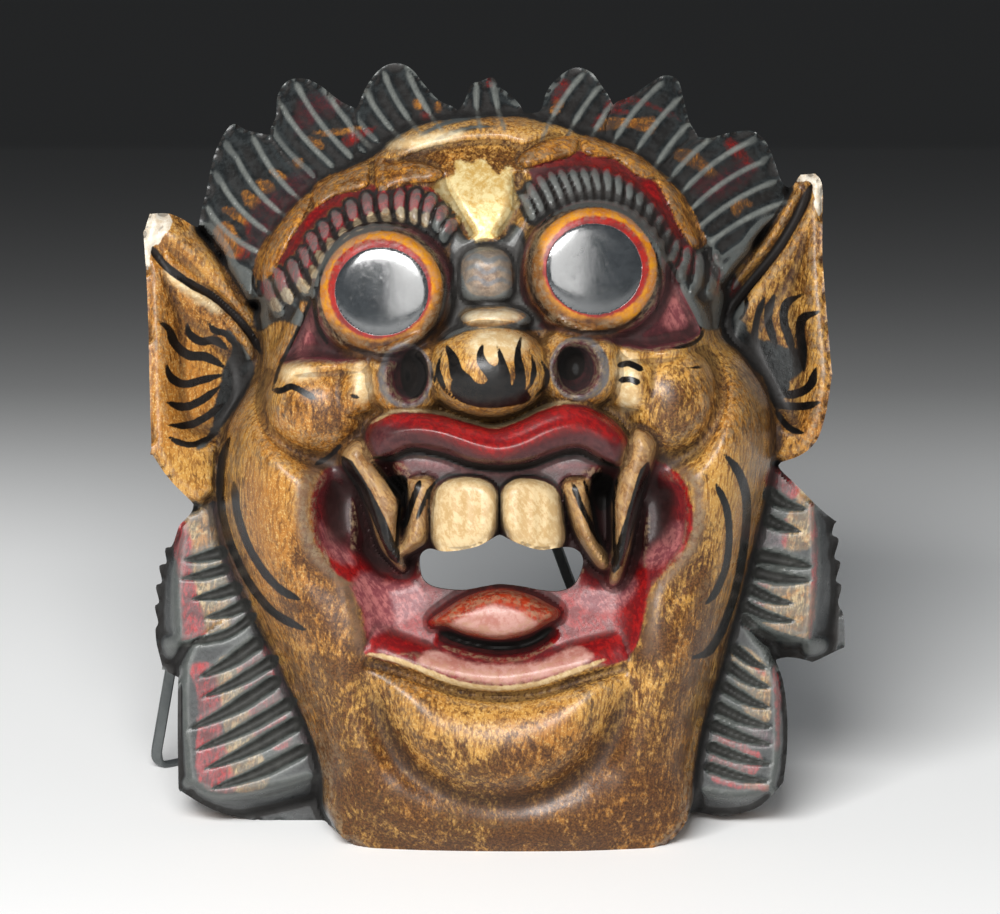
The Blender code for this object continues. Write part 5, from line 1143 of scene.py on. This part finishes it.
def mask_finish():
    f = Finish('painted_wood', 0.32)
    f.shader.inputs['Specular IOR Level'].default_value = 0.3
    broad = f.noise(26, 2, 0.5)
    patchy = f.noise(75, 6, 0.68, warp=0.9)
    fine = f.noise(420, 5, 0.74)
    speckle = f.noise(1300, 3, 0.6)
    streak = f.noise(1, 4, 0.62, f.stretched(900, 170, 0.12), 0.6)
    scratch = f.noise(1, 5, 0.66, f.stretched(700, 130, -0.55), 0.6)
    ragged = f.less(f.noise(450, 3, 0.6), 0.5)
    wobble = f.less(f.noise(110, 2, 0.5), 0.5)
    grain = f.noise(1, 5, 0.62, f.stretched(650, 90), 0.3)
    hollows = f.data('cavity')

    def edge(name, soft=0.3, wander=1.0):
        """Share of a colour where its patch covers, with a brushed, uneven edge."""
        wandered = f.plus(f.times(ragged, 1.6 * wander), f.times(wobble, 1.6 * wander))
        return f.step(f.plus(f.data(name), wandered), -soft, soft)

    # gold-ochre ground, streaked where brown stain was brushed on and rubbed off again, and made browner or brighter
    # by the stain spots, which also hold painted shade and painted highlights
    gold = f.mix(f.step(broad, 0.4, 0.62), tone(208, 156, 78), tone(186, 124, 52))
    gold = f.mix(f.times(f.step(speckle, 0.5, 0.66), 0.6), gold, tone(238, 200, 128))
    gold = f.mix(f.times(f.step(streak, 0.47, 0.58), 0.75), gold, tone(144, 92, 38))
    marks = f.plus(f.times(patchy, 0.34), f.times(fine, 0.24))
    marks = f.plus(marks, f.times(f.plus(scratch, streak), 0.23))
    marks = f.plus(marks, f.times(f.data('stain_shade_highlight'), 0.11))
    brown = f.mix(f.step(speckle, 0.38, 0.62), tone(56, 31, 13), tone(104, 62, 26))
    colour = f.mix(f.times(f.step(marks, 0.48, 0.615), 0.94), gold, brown)
    # the colours over it, in the order they were painted
    blotch = f.step(f.plus(f.times(fine, 0.6), f.times(f.noise(170, 4, 0.6, warp=0.8), 0.5)), 0.45, 0.64)
    broken = f.step(f.plus(f.times(streak, 0.5), f.times(patchy, 0.5)), 0.40, 0.56, 1.0, 0.25)
    worn_streak = f.step(f.plus(f.times(scratch, 0.55), f.times(blotch, 0.12)), 0.26, 0.40)
    for name, first, second, soft, wander in LAYERS:
        share = edge(name, soft, wander)
        if name in BROKEN:
            share = f.times(share, broken)
        shade = f.mix(worn_streak if name in STREAKED or name == 'gold' else blotch, tone(*first), tone(*second))
        if name == 'gold':
            shade = f.mix(f.times(f.step(marks, 0.47, 0.59), 0.85), shade, brown)
        colour = f.mix(share, colour, shade)
    # dirt in the cuts and narrow hollows, the broad hollows darkened by dirt and painted shade, paint rubbed thin on
    # the crests, and the slate's crests lightened grey as painted highlight
    colour = f.mix(f.times(f.step(hollows, -0.34, -0.05, 1.0, 0.0), 0.5), colour, tone(36, 27, 22))
    # painted shade with some dirt: darker in the broad hollows
    broad_hollow_dirt_and_shade = f.times(f.step(f.data('cavity_wide'), -6.0, -0.6, 1.0, 0.0), 0.45)
    colour = f.mix(broad_hollow_dirt_and_shade, colour, tone(70, 48, 38), 'MULTIPLY')
    rubbed = f.times(f.times(f.step(hollows, 0.10, 0.42), f.step(fine, 0.42, 0.6)), 0.30)
    painted = f.math('MAXIMUM', f.step(f.data('slate'), -0.5, 0.5), f.step(f.data('red'), -0.5, 0.5))
    painted = f.math('MAXIMUM', painted, f.step(f.math('MAXIMUM', f.data('ink'), f.data('pupil')), -0.4, 0.2))
    rubbed = f.times(rubbed, f.less(1.0, f.times(painted, 0.95)))
    # painted highlight: the slate lightened grey on its crests
    slate_crest_highlight = f.times(f.step(hollows, 0.0, 0.5), f.step(f.data('slate'), 0.0, 0.6))
    colour = f.mix(f.times(slate_crest_highlight, 0.4), colour, tone(132, 137, 134))
    colour = f.mix(rubbed, colour, tone(206, 180, 140))
    # the back is bare wood under thin brown stain
    behind = f.data('behind')
    bare = f.mix(f.step(grain, 0.3, 0.7), tone(170, 126, 86), tone(124, 88, 62))
    bare = f.mix(f.times(f.step(patchy, 0.4, 0.7), 0.5), bare, tone(94, 68, 52))
    colour = f.mix(1.0, f.mix(behind, colour, bare), (VARNISH, VARNISH, VARNISH), 'MULTIPLY')
    # glossy pupils, patchy varnish on the rest, dull in the cuts and behind
    glossy = edge('pupil', 0.15, 0.2)
    rough = f.plus(f.times(f.step(patchy, 0.3, 0.7), 0.12), 0.24)
    rough = f.plus(rough, f.times(f.step(fine, 0.5, 0.75), 0.12))
    rough = f.less(rough, f.times(glossy, 0.14))
    rough = f.plus(rough, f.step(hollows, -0.45, -0.12, 0.35, 0.0))
    rough = f.plus(rough, f.times(edge('nostril', 0.8), 0.35))
    rough = f.plus(rough, f.times(behind, 0.32), True)
    smooth = f.less(1.0, f.times(glossy, 0.85))
    relief = f.bump(f.times(f.noise(70, 3, 0.5), smooth), 0.35, 0.0012)
    relief = f.bump(f.times(grain, smooth), 0.16, 0.0004, relief)
    relief = f.bump(f.times(fine, smooth), 0.25, 0.0004, relief)
    return f.dress(Base_Color=colour, Roughness=rough, Metallic=f.times(edge('leaf', 0.4), 0.2), Normal=relief)


def dress_mask():
    """Carves the mask, gives it its paint and stands it on its chin."""
    made, depth = carve_mask()
    thin_back(made)
    trim(made, (0, 0, CHIN_TRIM / 1000), (0, SINE, -COSINE))
    mesh = made.data
    x, z = grid_points()
    place = np.empty(len(mesh.vertices) * 3)
    mesh.vertices.foreach_get('co', place)
    px, py, pz = place.reshape(-1, 3).T * 1000
    grids = paint_mask(x, z)
    grids['cavity'] = depth - blurred(depth, 1.3)
    grids['cavity_wide'] = depth - blurred(depth, 8.0)
    # stain, painted shade and painted highlights in one grid
    grids['stain_shade_highlight'] = stain_shade_and_highlight(x, z)
    values = {name: sampled(grid, px, pz) for name, grid in grids.items()}
    values['behind'] = np.clip((sampled(depth, px, pz) + py - 1.0) / 1.5, 0, 1)
    for name, numbers in values.items():
        layer = mesh.attributes.new(name, 'FLOAT', 'POINT')
        layer.data.foreach_set('value', numbers.astype(np.float32))
    mesh.shade_smooth()
    mesh.set_sharp_from_angle(angle=math.radians(50))
    mesh.materials.clear()
    painted = mask_finish()
    varnished = painted.copy()
    varnished.name = 'pupil_varnish'
    surface = varnished.node_tree.nodes['Principled BSDF']
    surface.inputs['Specular IOR Level'].default_value = 1.0
    surface.inputs['IOR'].default_value = 1.58
    mesh.materials.append(painted)
    mesh.materials.append(varnished)
    for face in mesh.polygons:
        x_mm, z_mm = face.center.x * 1000, face.center.z * 1000
        if -face.center.y * 1000 > 80 and any(np.hypot((x_mm - e['c'][0]) / e['r'][0],
                                                       (z_mm - e['c'][1]) / e['r'][1]) < 0.98 for e in EYES.values()):
            face.material_index = 1
    stand_it = Matrix.Translation((0.0, MASK_Y / 1000, -CHIN_TRIM * COSINE / 1000))
    mesh.transform(stand_it @ Matrix.Rotation(-LEAN, 4, 'X'))
    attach(made, 'root')
    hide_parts('mask')


dress_mask()

# The easel
# One flat steel strip bent into legs, top bar and a V of runners, with two curved struts behind, under
# satin grey enamel. The mask's rim leans on its top bar, and its runners stand on the floor.
STRIP_WIDTH = 3.8
STRIP_THICKNESS = 1.8
STAND_CENTRE_X = -11.0
STAND_HEIGHT = 215.0
FOOT_HALF_SPAN = 110.0
TOP_HALF_SPAN = 73.0
FOOT_BACK = 73.0
RUNNER_DEPTH = 85.0
BEND_RADIUS = 6.0
CORNER_RADIUS = 14.0
STRUT_TOP_HALF_SPAN = 10.0
STRUT_FOOT_SHARE = 0.44
FIT_GAP = 0.3
EDGE_ROUND = 0.45


def strip(made, path, normals, closed):
    """A flat strip with eased edges swept along a path."""
    w, h, ease = STRIP_WIDTH / 2, STRIP_THICKNESS / 2, EDGE_ROUND
    section = [(-w, -h + ease), (-w + ease, -h), (w - ease, -h), (w, -h + ease),
               (w, h - ease), (w - ease, h), (-w + ease, h), (-w, h - ease)]
    rings = []
    count = len(path)
    for i, (point, normal) in enumerate(zip(path, normals)):
        prior = path[i - 1] if closed or i else path[i]
        after = path[(i + 1) % count] if closed or i < count - 1 else path[i]
        along = (after - prior) / np.linalg.norm(after - prior)
        flat = normal - along * np.dot(normal, along)
        flat = flat / np.linalg.norm(flat)
        across = np.cross(along, flat)
        rings.append([made.verts.new((point + across * s + flat * t) / 1000) for s, t in section])
    for ring, following in zip(rings, rings[1:] + rings[:1] if closed else rings[1:]):
        for k in range(8):
            made.faces.new((ring[k], ring[(k + 1) % 8], following[(k + 1) % 8], following[k]))
    if not closed:
        made.faces.new(rings[0][::-1])
        made.faces.new(rings[-1])


def rounded(points, radii, steps=9):
    """A path with its corners rounded."""
    path = []
    for i, (point, radius) in enumerate(zip(points, radii)):
        into = points[i - 1] - point
        out = points[(i + 1) % len(points)] - point
        into = into / np.linalg.norm(into)
        out = out / np.linalg.norm(out)
        reach = radius / math.tan(math.acos(np.clip(np.dot(into, out), -1, 1)) / 2)
        start, end = point + into * reach, point + out * reach
        for k in range(steps + 1):
            t = k / steps
            path.append(start * (1 - t) ** 2 + point * 2 * t * (1 - t) + end * t ** 2)
    return path


def easel_finish():
    f = Finish('grey_steel', 0.42)
    fine = f.noise(900, 3, 0.6)
    worn = f.noise(140, 4, 0.6)
    colour = f.mix(f.step(worn, 0.35, 0.7), tone(84, 88, 88), tone(70, 74, 75))
    colour = f.mix(f.times(f.step(fine, 0.62, 0.72), 0.35), colour, tone(70, 72, 72))
    return f.dress(Base_Color=colour, Metallic=0.35, Roughness=f.plus(0.34, f.times(worn, 0.2)),
                   Normal=f.bump(fine, 0.12, 0.0002))


def build_easel():
    half = STRIP_THICKNESS / 2
    rim_y = MASK_Y + CHIN_TRIM * COSINE * math.tan(LEAN)
    top_y = rim_y + STAND_HEIGHT * math.tan(LEAN) + (half + FIT_GAP) / COSINE
    centre = np.array([STAND_CENTRE_X, 0.0, 0.0])
    foot = np.array([FOOT_HALF_SPAN, FOOT_BACK, half])
    top = np.array([TOP_HALF_SPAN, top_y, STAND_HEIGHT])
    rear = np.array([0.0, FOOT_BACK + RUNNER_DEPTH, half])
    mirror = np.array([-1.0, 1.0, 1.0])
    corners = [rear + centre, foot * mirror + centre, top * mirror + centre, top + centre, foot + centre]
    path = rounded(corners, [BEND_RADIUS, BEND_RADIUS, CORNER_RADIUS, CORNER_RADIUS, BEND_RADIUS])
    forward = np.array([0.0, -COSINE, SINE])
    down = np.array([0.0, 0.0, -1.0])
    normals = []
    for point in path:
        share = np.clip((point[2] - half) / (2 * BEND_RADIUS), 0, 1)
        normals.append(down * (1 - share) + forward * share)
    made = bmesh.new()
    strip(made, path, normals, True)
    # the struts, from the middle of the top bar down to the runners
    land = np.array([FOOT_HALF_SPAN * (1 - STRUT_FOOT_SHARE), FOOT_BACK + RUNNER_DEPTH * STRUT_FOOT_SHARE, half])
    start = np.array([STRUT_TOP_HALF_SPAN, top_y + half, STAND_HEIGHT - STRIP_WIDTH * 0.2])
    for side in (-1.0, 1.0):
        strut = []
        for t in np.arange(25) / 24:
            share = np.array([t ** 2.2, t, t])
            strut.append((start + (land - start) * share) * np.array([side, 1.0, 1.0]) + centre)
        strip(made, strut, [np.array([0.0, 1.0, 0.2])] * len(strut), False)
    bmesh.ops.recalc_face_normals(made, faces=made.faces)
    mesh = bpy.data.meshes.new('easel_strips')
    made.to_mesh(mesh)
    made.free()
    mesh.shade_smooth()
    mesh.set_sharp_from_angle(angle=math.radians(32))
    mesh.materials.append(easel_finish())
    easel = add_object('easel_strips', mesh)
    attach(easel, 'root')
    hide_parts('stand')


build_easel()

# The floor, the light and the camera
# A pale matt table top, painted darker far behind as shade where it falls away into the dark, one large soft box over
# the camera and a smaller key, and a long lens that looks square at the leaning face.

# share of light the floor gives back, by metres behind the mask: pale near it, then painted dark as shade further
# back
FLOOR_SHADES = [(0.0, 0.92), (0.14, 0.97), (0.35, 1.0), (0.48, 0.60), (0.60, 0.21), (0.77, 0.058), (0.98, 0.006)]
FLOOR_REACH = 6
WORLD_STRENGTH = 0.13
# where the camera aims, in millimetres up the face and forward of the rim, how far off it stands, its lens
AIM_Z, AIM_DEPTH, AWAY, LENS = 134.6, 60.0, 5000.0, 525.6


def build_floor():
    mesh = bpy.data.meshes.new('floor')
    corners = [(x * FLOOR_REACH, y * FLOOR_REACH, 0) for x, y in ((-1, -1), (1, -1), (1, 1), (-1, 1))]
    mesh.from_pydata(corners, [], [(0, 1, 2, 3)])
    f = Finish('pale_floor', 0.6)
    depth = f.node('SeparateXYZ', {0: f.place}, 'Y')
    shade = f.node('ValToRGB', {0: depth})
    ramp = shade.node.color_ramp
    ramp.interpolation = 'B_SPLINE'
    while len(ramp.elements) < len(FLOOR_SHADES):
        ramp.elements.new(0.5)
    for stop, (distance, share) in zip(ramp.elements, FLOOR_SHADES):
        stop.position = distance
        stop.color = (share, share * 1.01, share * 1.01, 1.0)
    speck = f.times(f.noise(900, 2, 0.5), 0.02)
    mesh.materials.append(f.dress(Base_Color=f.mix(speck, shade, tone(200, 200, 200))))
    add_object('floor', mesh)


def add_light(name, size, power, place, aim, shade):
    lamp = bpy.data.lights.new(name, 'AREA')
    lamp.shape = 'RECTANGLE'
    lamp.size, lamp.size_y = size
    lamp.energy = power
    lamp.color = shade
    made = add_object(name, lamp)
    made.location = place
    made.rotation_euler = (Vector(aim) - Vector(place)).to_track_quat('-Z', 'Y').to_euler()


build_floor()
world = bpy.data.worlds.new('studio')
world.use_nodes = True
sky = world.node_tree.nodes['Background']
sky.inputs['Color'].default_value = (0.75, 0.8, 0.85, 1.0)
sky.inputs['Strength'].default_value = WORLD_STRENGTH
bpy.context.scene.world = world
add_light('front_box', (2.9, 3.0), 142.0, (0.0, -5.2, 1.75), (0.0, 0.0, 0.13), (1.0, 0.99, 0.97))
add_light('key_box', (1.3, 0.6), 60.0, (-0.45, -1.6, 1.25), (0.0, 0.0, 0.12), (1.0, 0.99, 0.98))

camera = add_object('camera', bpy.data.cameras.new('camera'))
reach = AIM_DEPTH + AWAY
camera.location = (0.0, (AIM_Z * SINE - reach * COSINE + MASK_Y) / 1000,
                   (AIM_Z * COSINE + reach * SINE - CHIN_TRIM * COSINE) / 1000)
camera.rotation_euler = (math.radians(90) - LEAN, 0.0, 0.0)
camera.data.sensor_width = 36.0
camera.data.lens = LENS
camera.data.clip_end = 100.0
bpy.context.scene.camera = camera
bpy.context.scene.view_settings.view_transform = 'Standard'
